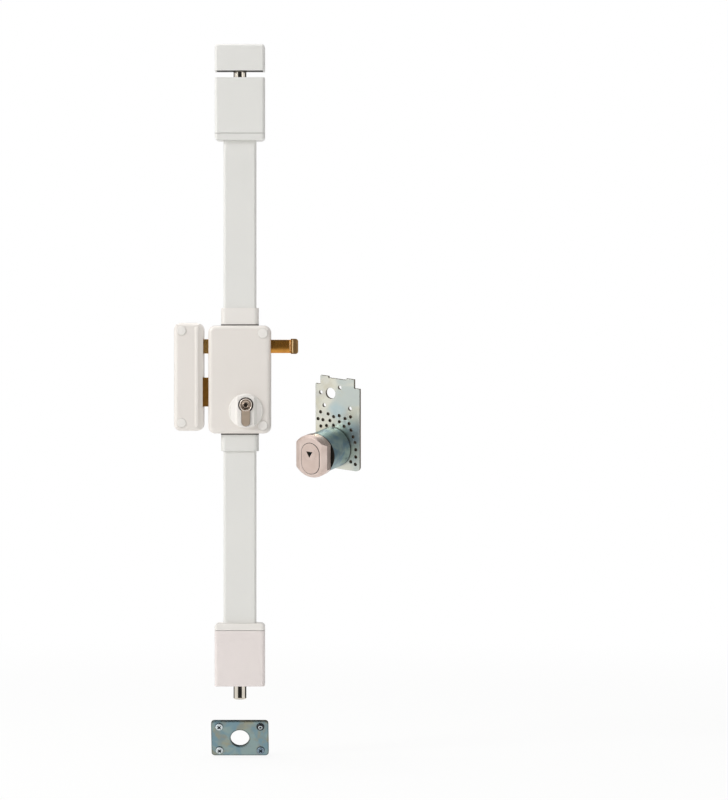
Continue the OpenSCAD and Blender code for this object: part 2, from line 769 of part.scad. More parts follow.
// Slide that carries the dead bolt's rack over the top of its pinion
module dead_bolt_rack() {
    bottom = dead_z - dead_h / 2;
    step_z = cyl_z + cyl_dia / 2 + 1.5;
    tooth_n = ceil(dead_throw / PI / rack_module) + 1;
    bar_h = 4.8;
    color("#9fa6ac") difference() {
        union() {
            slab(slide_d0, slide_d1) polygon([
                [slide_x0 + slide_gap, bottom], [dead_tail_x, bottom], [dead_tail_x, step_z],
                [arm_x1, step_z], [arm_x1, slide_top], [slide_x0 + slide_gap, slide_top]]);
            block(slide_x0 + slide_gap, arm_x1, dead_rack_d0, slide_d0,
                  rack_z + tooth_ded * rack_module, rack_z + tooth_ded * rack_module + bar_h);
            translate([0, 0, rack_z]) slab(dead_rack_d0, pinion_d1) mirror([0, 1])
                rack_teeth(rack_module, -tooth_n, 1);
        }
        for (s = [-1, 1])
            pillar(rivet_x, dead_z + s * dead_h / 4, rivet_r, slide_d0 - over, slide_d1 + over);
    }
}

module dead_bolt_rivets() {
    color("#c8ccd0") for (s = [-1, 1])
        pillar(rivet_x, dead_z + s * dead_h / 4, rivet_r - 0.02, slide_d0, dead_d1);
}

// Latch with its bevel on the door side, its rod, spring and pull

module latch_bolt() {
    nose = latch_reach - 3;
    color("#c99a4b") difference() {
        translate([0, 0, latch_rise - latch_h / 2]) linear_extrude(latch_h)
            polygon([[latch_x0 + nose, -latch_d0], [latch_x0, 3 - latch_d1],
                     [latch_x0, 0.6 - latch_d1], [latch_x0 + 0.6, -latch_d1],
                     [latch_x1, -latch_d1], [latch_x1, -latch_d0]]);
        translate([latch_x1 - 8, -latch_mid, latch_rise]) rotate([0, 90, 0])
            cylinder(r = tail_r, h = 8 + over);
    }
}

module latch_rod() {
    color("#b9bec2") translate([latch_x1 - 8, -latch_mid, latch_rise]) rotate([0, 90, 0])
        cylinder(r = tail_r - 0.02, h = shank_x0 + 8 - (latch_x1 - 8));
}

// Points of the spring: one unbroken tube, closed turns at both ends
spring_turns = 7;
spring_rings = 8;
spring_sides = 6;
spring_x0 = latch_x1 + 0.3 + spring_wire / 2;
spring_x1 = stop_x - 0.3 - spring_wire / 2;
function spring_place(t) =
    let (s = t / spring_turns, flat = 0.12, u = min(1, max(0, (s - flat) / (1 - 2 * flat))))
    spring_x0 + spring_wire * 1.35 * min(s, flat) / flat * 0.6
    + (spring_x1 - spring_x0 - spring_wire * 1.62) * u
    + spring_wire * 1.35 * max(0, s - 1 + flat) / flat * 0.6;

module latch_spring() {
    n = spring_turns * spring_rings;
    points = [for (i = [0 : n], k = [0 : spring_sides - 1])
        let (
            t = i / spring_rings, a = 360 * t, b = 360 * k / spring_sides,
            r = spring_r + spring_wire / 2 * cos(b), x = spring_place(t) + spring_wire / 2 * sin(b)
        )
        [x, r * cos(a) - latch_mid, r * sin(a) + latch_rise]];
    sides = [for (i = [0 : n - 1], k = [0 : spring_sides - 1])
        let (
            a = i * spring_sides + k, b = i * spring_sides + (k + 1) % spring_sides,
            c = b + spring_sides, d = a + spring_sides
        )
        each [[a, b, c], [a, c, d]]];
    start = [for (k = [1 : spring_sides - 2]) [0, k + 1, k]];
    finish = [for (k = [1 : spring_sides - 2])
        [n * spring_sides, n * spring_sides + k, n * spring_sides + k + 1]];
    color("#7f858b") polyhedron(points = points, faces = concat(sides, start, finish));
}

// Brass bar with a crowned front and a turned-out grip at its end
module latch_pull() {
    grip_x = pull_x1 - pull_end;
    lip = 7;
    front = latch_mid + pull_t / 2;
    crown_r = pull_h * pull_h / 8 / pull_crown;
    color("#cfa04f") difference() {
        union() {
            intersection() {
                block(shank_x0, grip_x + over, front - pull_t, front,
                      latch_rise - pull_h / 2, latch_rise + pull_h / 2);
                translate([shank_x0, crown_r - front, latch_rise]) rotate([0, 90, 0])
                    cylinder(r = crown_r, h = grip_x + over - shank_x0, $fn = 96);
            }
            // Fillet between the bar and the grip
            translate([0, 0, latch_rise - pull_h / 2]) linear_extrude(pull_h) difference() {
                translate([grip_x - pull_fillet, -front - pull_fillet])
                    square([pull_fillet + over, pull_fillet + pull_crown]);
                translate([grip_x - pull_fillet, -front - pull_fillet]) circle(pull_fillet);
            }
            intersection() {
                translate([0, 0, latch_rise - pull_end_h / 2]) linear_extrude(pull_end_h)
                    union() {
                        translate([grip_x, -latch_mid - pull_t / 2 - lip])
                            square([pull_end - 2, pull_t + lip]);
                        translate([grip_x, 2 - latch_mid - pull_t / 2 - lip])
                            square([pull_end, pull_t + lip - 4]);
                        for (d = [2 - latch_mid - pull_t / 2 - lip, pull_t / 2 - latch_mid - 2])
                            translate([pull_x1 - 2, d]) circle(2);
                    }
                translate([pull_x1 - pull_end * 1.5, 0, latch_rise])
                    slab(0, case_d + lip) round_rect(pull_end * 3, pull_end_h, 3);
            }
        }
        translate([shank_x0 - over, -latch_mid, latch_rise]) rotate([0, 90, 0])
            cylinder(r = tail_r, h = 8 + over);
    }
}

// Rods

// Rack teeth cut into the edge of a rod at x, facing the pinion
module rod_rack(side, first, last) {
    translate([side * rod_rp, wheel_z]) rotate(side * 90) rack_teeth(rack_module, first, last);
}

// Rod that ends in a narrow tongue inside the round bolt
module rod_tongue(z0, z1) {
    translate([-(bolt_dia - 4) / 2, z0]) square([bolt_dia - 4, z1 - z0]);
}

upper_bolt_z = upper_reach + bolt_reach - bolt_l;
lower_bolt_z = lower_reach + bolt_reach - bolt_l;
rack_x = rod_rp + tooth_ded * rack_module;
rack_back = 7;
rack_len = 24;
rod_foot = 4.6;

module upper_rod() {
    tooth_n = ceil(rod_throw / PI / rack_module) + 1;
    color("#aab1b7") difference() {
        union() {
            slab(rod_d0, rod_d1) polygon([
                [rack_x, wheel_z - rod_foot], [rack_x + rack_back, wheel_z - rod_foot],
                [rack_x + rack_back, crank_z], [rod_w / 2, crank_z + crank_l],
                [rod_w / 2, upper_bolt_z], [-rod_w / 2, upper_bolt_z],
                [-rod_w / 2, crank_z + crank_l], [rack_x, crank_z]]);
            slab(rod_d0, rod_d1) rod_tongue(upper_bolt_z - 1, upper_bolt_z + bolt_slot - 1);
            intersection() {
                slab(rod_d0, rod_d1) rod_rack(1, -1, tooth_n - 1);
                block(0, 2 * rack_x, rod_d0 - over, rod_d1 + over,
                      wheel_z - rod_foot, wheel_z - rod_foot + rack_len);
            }
        }
        pillar(0, upper_bolt_z + bolt_slot / 2, bolt_pin_r, rod_d0 - over, rod_d1 + over);
    }
}

module lower_rod() {
    tooth_n = ceil(rod_throw / PI / rack_module) + 1;
    color("#aab1b7") difference() {
        union() {
            slab(rod_d0, rod_d1) polygon([
                [-rack_x, wheel_z + rod_foot], [-rack_x - rack_back, wheel_z + rod_foot],
                [-rack_x - rack_back, -low_crank], [-rod_w / 2, -low_crank - crank_l],
                [-rod_w / 2, -lower_bolt_z], [rod_w / 2, -lower_bolt_z],
                [rod_w / 2, -low_crank - crank_l], [-rack_x, -low_crank]]);
            slab(rod_d0, rod_d1) rod_tongue(1 - lower_bolt_z - bolt_slot, 1 - lower_bolt_z);
            intersection() {
                slab(rod_d0, rod_d1) rod_rack(-1, -1, tooth_n - 1);
                block(-2 * rack_x, 0, rod_d0 - over, rod_d1 + over,
                      wheel_z + rod_foot - rack_len, wheel_z + rod_foot);
            }
        }
        pillar(0, -lower_bolt_z - bolt_slot / 2, bolt_pin_r, rod_d0 - over, rod_d1 + over);
    }
}

// Round bolt drawn with its tip up and its slot down, on the rod's middle
module round_bolt(foot) {
    tip = 2;
    translate([0, -rod_mid, foot]) difference() {
        union() {
            cylinder(d = bolt_dia, h = bolt_l - tip);
            rotate_extrude() intersection() {
                translate([0, bolt_l - tip]) square([bolt_dia / 2, tip]);
                union() {
                    translate([0, bolt_l - tip]) square([bolt_dia / 2 - tip, tip]);
                    translate([bolt_dia / 2 - tip, bolt_l - tip]) circle(tip);
                }
            }
        }
        translate([-bolt_dia / 2 - over, -rod_t / 2 - turn_gap, -over])
            cube([bolt_dia + 2 * over, rod_t + 2 * turn_gap, bolt_slot + over]);
        translate([0, 0, bolt_slot / 2]) rotate([90, 0, 0])
            cylinder(r = bolt_pin_r, h = bolt_dia + 2 * over, center = true);
    }
}

module upper_round_bolt() {
    color("#d3d3d0") round_bolt(upper_bolt_z);
}

module lower_round_bolt() {
    color("#d3d3d0") mirror([0, 0, 1]) round_bolt(lower_bolt_z);
}

module bolt_pin(z) {
    half = sqrt(pow(bolt_dia / 2, 2) - pow(bolt_pin_r, 2)) - 0.1;
    pillar(0, z, bolt_pin_r - 0.02, rod_mid - half, rod_mid + half);
}

module upper_bolt_pin() {
    color("#8f969c") bolt_pin(upper_bolt_z + bolt_slot / 2);
}

module lower_bolt_pin() {
    color("#8f969c") bolt_pin(-lower_bolt_z - bolt_slot / 2);
}

// Nylon guide in the case, open for a rod between x0 and x1
module rod_guide(x0, x1, z) {
    difference() {
        block(x0 - guide_wall, x1 + guide_wall, plate_t, rod_d1 + guide_wall,
              z - guide_wall, z + guide_wall);
        block(x0 - slide_gap, x1 + slide_gap, rod_d0 - slide_gap, rod_d1 + slide_gap,
              z - 2 * guide_wall, z + 2 * guide_wall);
    }
}

module rod_guides() {
    color("#e6e2d6") union() {
        rod_guide(-rod_w / 2, rod_w / 2, case_h / 2 - guide_inset);
        rod_guide(-rack_x - rack_back, -rack_x, guide_inset - case_h / 2);
    }
}

// Nylon clip on the door that guides a rod and holds its snap-on cover
module rod_clip(z) {
    half_l = 9;
    w = bar_w - 2 * bar_wall - 2 * cover_gap;
    d = bar_d - bar_wall - cover_gap;
    translate([0, 0, z]) difference() {
        translate([0, 0, -half_l]) linear_extrude(2 * half_l)
            front_section(w, d, bar_edge - bar_wall + 0.3);
        block(-rod_w / 2 - slide_gap, rod_w / 2 + slide_gap, rod_d0 - slide_gap,
              rod_d1 + slide_gap, -half_l - over, half_l + over);
        block(-rod_w / 2 - slide_gap, rod_w / 2 + slide_gap, rod_d1, d + over, -4, 4);
        for (s = [-1, 1])
            pillar(s * (rod_w / 2 + 5), 0, 1.8, -over, d + over);
    }
}

module rod_clips() {
    color("#e6e2d6") union() {
        rod_clip((bar_z0 + upper_reach - house_l) / 2);
        rod_clip(-(bar_z0 + lower_reach - house_l) / 2);
    }
}

// Covers over the rods

// Sleeve with a thin lip that meets the case and leaves an open joint round it
module sleeve() {
    lip = sleeve_wall * 0.4;
    difference() {
        union() {
            translate([0, 0, case_h / 2 + sleeve_joint]) linear_extrude(sleeve_l - sleeve_joint)
                front_section(sleeve_w, sleeve_d, bar_edge + sleeve_wall);
            translate([0, 0, case_h / 2]) linear_extrude(sleeve_joint + over)
                front_section(bar_w + 2 * (cover_gap + lip), bar_d + cover_gap + lip,
                              bar_edge + lip);
        }
        translate([0, 0, case_h / 2 - over]) linear_extrude(sleeve_l + 2 * over)
            front_section(bar_w + 2 * cover_gap, bar_d + cover_gap, bar_edge, over);
    }
}

module upper_sleeve() {
    color("#efeeea") sleeve();
}

module lower_sleeve() {
    color("#efeeea") mirror([0, 0, 1]) sleeve();
}

module rod_cover(reach) {
    z1 = reach - house_l + house_cap;
    difference() {
        translate([0, 0, bar_z0]) linear_extrude(z1 - bar_z0)
            front_section(bar_w, bar_d, bar_edge);
        translate([0, 0, bar_z0 - over]) linear_extrude(z1 - bar_z0 + 2 * over)
            front_section(bar_w - 2 * bar_wall, bar_d - bar_wall, bar_edge - bar_wall + 0.3, over);
    }
}

module upper_rod_cover() {
    color("#f0f0ec") rod_cover(upper_reach);
}

module lower_rod_cover() {
    color("#f0f0ec") mirror([0, 0, 1]) rod_cover(lower_reach);
}

module housing(reach) {
    z0 = reach - house_l + house_cap + house_joint;
    difference() {
        translate([0, 0, z0]) linear_extrude(reach - z0)
            front_section(house_w, house_d, house_edge);
        translate([0, 0, z0 - over]) linear_extrude(reach - z0 - house_wall + over)
            front_section(house_in_w, house_d - house_wall, house_edge - house_wall + 0.3, over);
        translate([0, -rod_mid, reach - house_wall - over])
            cylinder(d = bolt_dia + 4 * cover_gap, h = house_wall + 2 * over);
    }
}

module upper_housing() {
    color("#f0f0ec") housing(upper_reach);
}

module lower_housing() {
    color("#f0f0ec") mirror([0, 0, 1]) housing(lower_reach);
}

// End cap with round outer corners, a seat for the rod cover and a spigot in the housing
module housing_cap(reach) {
    z0 = reach - house_l;
    spigot = 4;
    lip = 1.4;
    difference() {
        union() {
            intersection() {
                translate([0, 0, z0]) linear_extrude(house_cap)
                    front_section(house_w, house_d, house_edge);
                slab(-over, house_d + over)
                    translate([0, z0 + house_cap])
                        round_rect(house_w, 2 * house_cap, house_corner);
            }
            translate([0, 0, z0 + house_cap - over])
                linear_extrude(spigot + house_joint + over)
                front_section(house_in_w - 2 * cover_gap, house_d - house_wall - cover_gap,
                              house_edge - house_wall + 0.3);
        }
        translate([0, 0, z0 - over]) linear_extrude(house_cap + over)
            front_section(bar_w + 2 * cover_gap, bar_d + cover_gap, bar_edge, over);
        translate([0, 0, z0 + house_cap - 2 * over])
            linear_extrude(spigot + house_joint + 4 * over)
            front_section(house_in_w - 2 * lip - 2 * cover_gap,
                          house_d - house_wall - cover_gap - lip, 1, over);
    }
}

module upper_housing_cap() {
    color("#efeeea") housing_cap(upper_reach);
}

module lower_housing_cap() {
    color("#efeeea") mirror([0, 0, 1]) housing_cap(lower_reach);
}

guide_screw_x = (bolt_dia / 2 + 4 + house_in_w / 2) / 2;
guide_ear = 4;

// Cast guide on the door that carries the round bolt
module bolt_guide(reach) {
    boss_r = bolt_dia / 2 + 3.5;
    z1 = reach - guide_top;
    difference() {
        union() {
            block(-house_in_w / 2 + cover_gap, house_in_w / 2 - cover_gap, 0, guide_ear,
                  z1 - guide_l, z1);
            block(-boss_r, boss_r, 0, rod_mid, z1 - guide_l, z1);
            translate([0, -rod_mid, z1 - guide_l]) cylinder(r = boss_r, h = guide_l);
        }
        translate([0, -rod_mid, z1 - guide_l - over])
            cylinder(r = bolt_dia / 2 + turn_gap, h = guide_l + 2 * over);
        for (s = [-1, 1])
            pillar(s * guide_screw_x, z1 - guide_l / 2, screw_r + 0.2, -over, guide_ear + over);
    }
}

module upper_bolt_guide() {
    color("#a7acb0") bolt_guide(upper_reach);
}

module lower_bolt_guide() {
    color("#a7acb0") mirror([0, 0, 1]) bolt_guide(lower_reach);
}

module guide_screw(x, z) {
    head_r = 1.9 * screw_r;
    head_d = guide_ear + 1.2 * screw_r;
    difference() {
        union() {
            pillar(x, z, screw_r + 0.1, 0, guide_ear);
            pillar(x, z, head_r, guide_ear, head_d);
        }
        translate([x, 0, z]) slab(head_d - 0.6 * screw_r, head_d + over) for (a = [0, 90])
            rotate(a) square([1.16 * head_r, 0.26 * head_r], center = true);
    }
}

module bolt_guide_screws() {
    color("#c9ccd0") for (s = [-1, 1]) {
        guide_screw(s * guide_screw_x, upper_reach - guide_top - guide_l / 2);
        guide_screw(s * guide_screw_x, guide_top + guide_l / 2 - lower_reach);
    }
}

// Side keep

keep_x = -case_w / 2 - keep_gap - keep_w / 2;
keep_edge = 5;
keep_in = keep_w - 2 * case_wall;
keep_screw_z = keep_h / 2 - cover_screw_end;
keep_screw_x = keep_x - keep_w / 2 + cover_screw_side;
mouth_gap = 1;

// Section with a round edge on the wall side; on the lock side the front bows back to the
// side. An inset draws the inner face of a wall of that thickness
module keep_section(inset, back = 0) {
    w = keep_w - 2 * inset;
    d = case_d - inset;
    edge = keep_edge - inset;
    bow = keep_bow - inset;
    bow_x = keep_w / 2 - keep_lead;
    translate([-w / 2, bow - d]) square([w, d - bow + back]);
    translate([-w / 2, edge - d]) square([w / 2, d - edge + back]);
    translate([edge - w / 2, -d]) square([bow_x + w / 2 - edge, d]);
    translate([edge - w / 2, edge - d]) circle(edge);
    intersection() {
        translate([bow_x, bow - d]) circle(bow);
        translate([bow_x, -d]) square([w / 2 - bow_x, bow]);
    }
}

module keep_box(inset, back = 0) {
    w = keep_w - 2 * inset;
    h = keep_h - 2 * inset;
    d = case_d - inset;
    edge = keep_edge - inset;
    corner = case_corner - inset;
    intersection() {
        translate([0, 0, -h / 2]) linear_extrude(h) keep_section(inset, back);
        rotate([0, 90, 0]) translate([0, 0, -w / 2])
            linear_extrude(w) front_section(h, d, edge, back);
        slab(-back, d) round_rect(w, h, corner);
    }
}

module keep_cover() {
    color("#f1f0ec") difference() {
        translate([keep_x, 0, keep_rise]) keep_box(0);
        translate([keep_x, 0, keep_rise]) keep_box(case_wall, over);
        // Mouths for the latch and the dead bolt, open towards the lock
        block(keep_x, keep_x + keep_w, slide_d0 - mouth_gap, dead_d1 + layer_gap,
              dead_z - dead_h / 2 - mouth_gap, dead_z + dead_h / 2 + mouth_gap);
        block(keep_x, keep_x + keep_w, latch_d0 - mouth_gap, latch_d1 + layer_gap,
              latch_rise - latch_h / 2 - mouth_gap, latch_rise + latch_h / 2 + mouth_gap);
        for (s = [-1, 1]) {
            pillar(keep_screw_x, keep_rise + s * keep_screw_z, screw_r + 0.3,
                   case_in - over, case_d + over);
            pillar(keep_screw_x, keep_rise + s * keep_screw_z, cap_r - 0.3,
                   case_d - cap_seat, case_d + over);
        }
    }
}

keep_plate_w = keep_in - 2 * cover_gap;
keep_plate_h = keep_h - 2 * case_wall - 2 * cover_gap;
keep_fix_z = 20;

// Steel plate of the side keep, with posts for the cover's screws
module keep_plate() {
    color("#b9bec2") difference() {
        union() {
            translate([keep_x, 0, keep_rise]) slab(0, plate_t)
                round_rect(keep_plate_w, keep_plate_h, case_corner - case_wall);
            for (s = [-1, 1])
                pillar(keep_screw_x, keep_rise + s * keep_screw_z, post_r, plate_t, case_in);
        }
        for (s = [-1, 1]) {
            pillar(keep_screw_x, keep_rise + s * keep_screw_z, screw_r, plate_t, case_d);
            pillar(keep_x, keep_rise + s * keep_fix_z, fix_dia / 2, -over, plate_t + over);
        }
    }
}

module keep_screws() {
    color("#c9ccd0") for (s = [-1, 1])
        cover_screw(keep_screw_x, keep_rise + s * keep_screw_z);
}

module keep_caps() {
    color("#e9e8e4") for (s = [-1, 1])
        screw_cap(keep_screw_x, keep_rise + s * keep_screw_z, cap_r - 0.4, case_d);
}

// Top keep

top_z0 = upper_reach + top_gap;
top_edge = 3.4;
top_set_back = 0.3;

// Cover, open below: front edges and upper corners round, lower edge cut square
module top_keep_cover() {
    extra = 2 * top_edge;
    color("#f0f0ec") difference() {
        translate([0, 0, top_z0 + (top_h - extra) / 2])
            soft_box(house_w, top_h + extra, house_d, top_edge + 0.1, top_edge);
        translate([0, 0, top_z0 + (top_h - extra) / 2])
            soft_box(house_w - 2 * house_wall, top_h + extra - 2 * house_wall,
                     house_d - house_wall, top_edge - house_wall + 0.1,
                     top_edge - house_wall, over);
        block(-house_w, house_w, -2 * over, house_d + over, top_z0 - top_h, top_z0);
    }
}

// Steel angle: one leg on the frame, the other across the way of the bolt
module top_keep_plate() {
    w = house_w - 2 * house_wall - 2 * cover_gap;
    z0 = top_z0 + top_set_back;
    z1 = top_z0 + top_h - house_wall - cover_gap;
    d1 = house_d - house_wall - 2 * cover_gap;
    color("#b9bec2") difference() {
        union() {
            translate([0, 0, (z0 + z1) / 2]) slab(0, plate_t)
                round_rect(w, z1 - z0, top_edge - house_wall + 0.1);
            block(-w / 2, w / 2, 0, d1 - 2, z0, z0 + plate_t);
        }
        translate([0, -rod_mid, z0 - over]) cylinder(d = strike_rim, h = plate_t + 2 * over);
        for (s = [-1, 1])
            pillar(s * w / 3, (z0 + plate_t + z1) / 2, fix_dia / 2, -over, plate_t + over);
    }
}

// Floor plate, shown leaning towards the viewer below the lock

floor_z = -lower_reach - floor_gap - floor_h / 2;
floor_fwd = (floor_h / 2 + over) * sin(floor_lean);

module floor_pose() {
    translate([0, -floor_fwd, floor_z]) rotate([floor_lean, 0, 0]) children();
}

module floor_plate() {
    corner = 4;
    color("#9fb0ae") floor_pose() difference() {
        slab(0, floor_t) round_rect(floor_w, floor_h, corner);
        pillar(0, 0, floor_hole / 2, -over, floor_t + over);
        for (sx = [-1, 1], sz = [-1, 1])
            pillar(sx * floor_screw_w / 2, sz * floor_screw_h / 2, screw_r + 0.2,
                   -over, floor_t + over);
    }
}

// Raised heads with a bevelled rim and a cross recess
module floor_screws() {
    head_r = 4.4;
    rim_h = 1.2;
    head_h = 2.4;
    cross_d = 1.6;
    color("#aebfbd") floor_pose() for (sx = [-1, 1], sz = [-1, 1])
        translate([sx * floor_screw_w / 2, 0, sz * floor_screw_h / 2]) difference() {
            union() {
                pillar(0, 0, screw_r + 0.1, 0, floor_t);
                translate([0, -floor_t, 0]) lay() union() {
                    cylinder(r = head_r, h = rim_h);
                    translate([0, 0, rim_h])
                        cylinder(r1 = head_r, r2 = head_r - 1.5, h = head_h - rim_h);
                }
            }
            slab(floor_t + head_h - cross_d, floor_t + head_h + over) for (a = [45, 135])
                rotate(a) square([head_r, head_r / 4], center = true);
        }
}

// Cylinder guard, a separate piece of the set, shown turned beside the lock

// Places the guard: its barrel's foot at the given point, turned left and nodded down
module guard_pose() {
    translate([guard_x, -guard_fwd, -guard_drop])
        rotate([guard_nod, 0, 0]) rotate([0, 0, -guard_turn]) children();
}

guard_left = -barrel_dia / 2;
guard_bottom = -barrel_dia / 2 - 1.6;
guard_top = guard_bottom + guard_h;
guard_right = guard_left + guard_w;

// Small blind holes round the barrel, from the outer row inwards: distance out from the
// barrel and direction
dot_places = [
    [19.5, 113], [15.5, 100], [12.5, 89], [15.5, 78], [15.5, 66], [21.5, 59],
    [13.5, 123], [10, 114], [7.5, 98], [8.5, 75], [13.5, 55],
    [4.5, 126], [2.3, 110], [2.3, 89], [6.5, 61], [9.5, 44],
    [7, 30], [6.8, 17], [6.5, 1], [7.5, -15], [4, -32], [10.5, -30]
];

module guard_outline() {
    corner = 5;
    step_h = guard_h * 0.096;
    ear_x0 = guard_left + guard_w * 0.113;
    ear_x1 = guard_right - guard_w * 0.126;
    notch_side = guard_w * 0.18;
    notch_h = 1.8;
    difference() {
        union() {
            translate([guard_left, guard_bottom + corner])
                square([guard_w, guard_h - step_h - corner]);
            translate([guard_left + corner, guard_bottom])
                square([guard_w - 2 * corner, corner + over]);
            for (x = [guard_left + corner, guard_right - corner])
                translate([x, guard_bottom + corner]) circle(corner);
            translate([ear_x0, guard_top - step_h - over])
                square([ear_x1 - ear_x0, step_h + over]);
        }
        translate([ear_x0 + notch_side, guard_top - notch_h])
            square([ear_x1 - ear_x0 - 2 * notch_side, notch_h + over]);
    }
}

guard_hole_x = guard_left + guard_hole_side;
guard_hole_z = guard_top - guard_hole_drop;

module guard_plate() {
    dot_depth = guard_t * 0.8;
    pin_r = 2.4;
    color("#b9c2bd") guard_pose() difference() {
        slab(0, guard_t) guard_outline();
        pillar(0, 0, guard_bore / 2, -over, guard_t + over);
        pillar(guard_hole_x, guard_hole_z, guard_hole_dia / 2, -over, guard_t + over);
        // Four holes for fixing pins, seen from the large hole
        for (p = [[-13, -0.4], [12.2, 8.2], [-8.5, -15.1], [25.7, -15.1]])
            pillar(guard_hole_x + p[0], guard_hole_z + p[1], pin_r, -over, guard_t + over);
        for (p = dot_places)
            pillar((barrel_dia / 2 + p[0]) * cos(p[1]), (barrel_dia / 2 + p[0]) * sin(p[1]),
                   dot_dia / 2, guard_t - dot_depth, guard_t + over);
    }
}

// Barrel with a fine groove where it meets the plate
module guard_barrel() {
    groove = 0.8;
    color("#8fa3a8") guard_pose() difference() {
        union() {
            pillar(0, 0, barrel_dia / 2 - groove, guard_t, guard_t + groove + over);
            pillar(0, 0, barrel_dia / 2, guard_t + groove, guard_t + barrel_l);
        }
        pillar(0, 0, guard_bore / 2, guard_t - over, guard_t + barrel_l + over);
    }
}

inset_w = head_flats - 2 * inset_side;
inset_h = head_dia - 2 * inset_rim;
inset_drop = 2.2;
inset_t = 6;
inset_out = 0.4;
disc_x = -1.3;
disc_r = 8.6;
disc_z = 3.4;
disc_t = 3.4;

module inset_outline(g = 0) {
    translate([0, -inset_drop]) {
        square([inset_w + 2 * g, inset_h - inset_w], center = true);
        for (s = [-1, 1]) translate([0, s * (inset_h - inset_w) / 2]) circle(inset_w / 2 + g);
    }
}

guard_d1 = guard_t + barrel_l;
guard_d2 = guard_d1 + head_l;

// Round head with two flats and a shallow bevel, set off from the barrel by a neck
module guard_head() {
    neck_l = 1.8;
    bevel = 2.8;
    bevel_r = 3;
    bevel_x = 6;
    web = 2;
    half = head_flats / 2;
    color("#ddd0c8") guard_pose() difference() {
        union() {
            pillar(0, 0, barrel_dia / 2 - 3, guard_d1, guard_d1 + neck_l + over);
            intersection() {
                lay() translate([0, 0, guard_d1 + neck_l]) union() {
                    cylinder(d = head_dia, h = head_l - neck_l - bevel);
                    translate([0, 0, head_l - neck_l - bevel])
                        cylinder(d1 = head_dia, d2 = head_dia - 2 * bevel_r, h = bevel);
                }
                translate([0, 0, -head_dia]) linear_extrude(2 * head_dia)
                    polygon([[-half, -guard_d1], [-half, bevel - guard_d2],
                             [bevel_x - half, -guard_d2], [half - bevel_x, -guard_d2],
                             [half, bevel - guard_d2], [half, -guard_d1]]);
            }
        }
        slab(guard_d2 - inset_t, guard_d2 + over) inset_outline();
        pillar(0, 0, guard_bore / 2, guard_d1 - over, guard_d2 - inset_t - web);
        pillar(0, 0, cyl_dia / 2, guard_d1, guard_d2 - inset_t + over);
    }
}

// Hard inset, a little proud of the head, that carries the free-turning disc in a round seat
module guard_inset() {
    face = guard_d2 + inset_out;
    color("#cdbfb6") guard_pose() difference() {
        union() {
            slab(guard_d2 - inset_t + turn_gap, guard_d2 - inset_t + 2) inset_outline(-turn_gap);
            slab(guard_d2 - inset_t + 1, face) inset_outline(-0.7);
        }
        pillar(disc_x, disc_z, disc_r, face - disc_t, face + over);
        pillar(disc_x, disc_z, disc_hole_r, guard_d2 - inset_t - over, face);
    }
}

disc_hole_r = 5.2;

// Disc with the triangular key entry
module guard_disc() {
    face = guard_d2 + inset_out;
    color("#c9bbb2") guard_pose() difference() {
        pillar(disc_x, disc_z, disc_r - turn_gap, face - disc_t + turn_gap, face);
        translate([disc_x, 0, disc_z]) slab(face - disc_t - over, face + over)
            rotate(-90) circle(4.8, $fn = 3);
    }
}

backplate();
slide_guide();
case_cover();
case_screws();
case_caps();
escutcheon();
cylinder_body();
cylinder_plug();
cylinder_rear_plug();
cylinder_gear();
cylinder_screw();
drive_axle();
drive_wheel();
drive_pinions();
axle_clip();
dead_bolt();
dead_bolt_rack();
dead_bolt_rivets();
latch_bolt();
latch_rod();
latch_spring();
latch_pull();
upper_rod();
lower_rod();
upper_round_bolt();
lower_round_bolt();
upper_bolt_pin();
lower_bolt_pin();
rod_guides();
rod_clips();
upper_sleeve();
lower_sleeve();
upper_rod_cover();
lower_rod_cover();
upper_housing();
lower_housing();
upper_housing_cap();
lower_housing_cap();
upper_bolt_guide();
lower_bolt_guide();
bolt_guide_screws();
keep_cover();
keep_plate();
keep_screws();
keep_caps();
top_keep_cover();
top_keep_plate();
floor_plate();
floor_screws();
guard_plate();
guard_barrel();
guard_head();
guard_inset();
guard_disc();
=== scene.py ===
"""Looks of a surface-mounted multipoint door lock with its keeps, floor plate and guard.

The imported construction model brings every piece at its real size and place. This script gives
each piece the finish of the real one, models the pieces that are better made as meshes, and
sets them in plain soft light before a pale background.
"""

import json
import logging
import math
from dataclasses import dataclass, replace
from enum import Enum

import bmesh
import bpy
from mathutils import Matrix, Vector

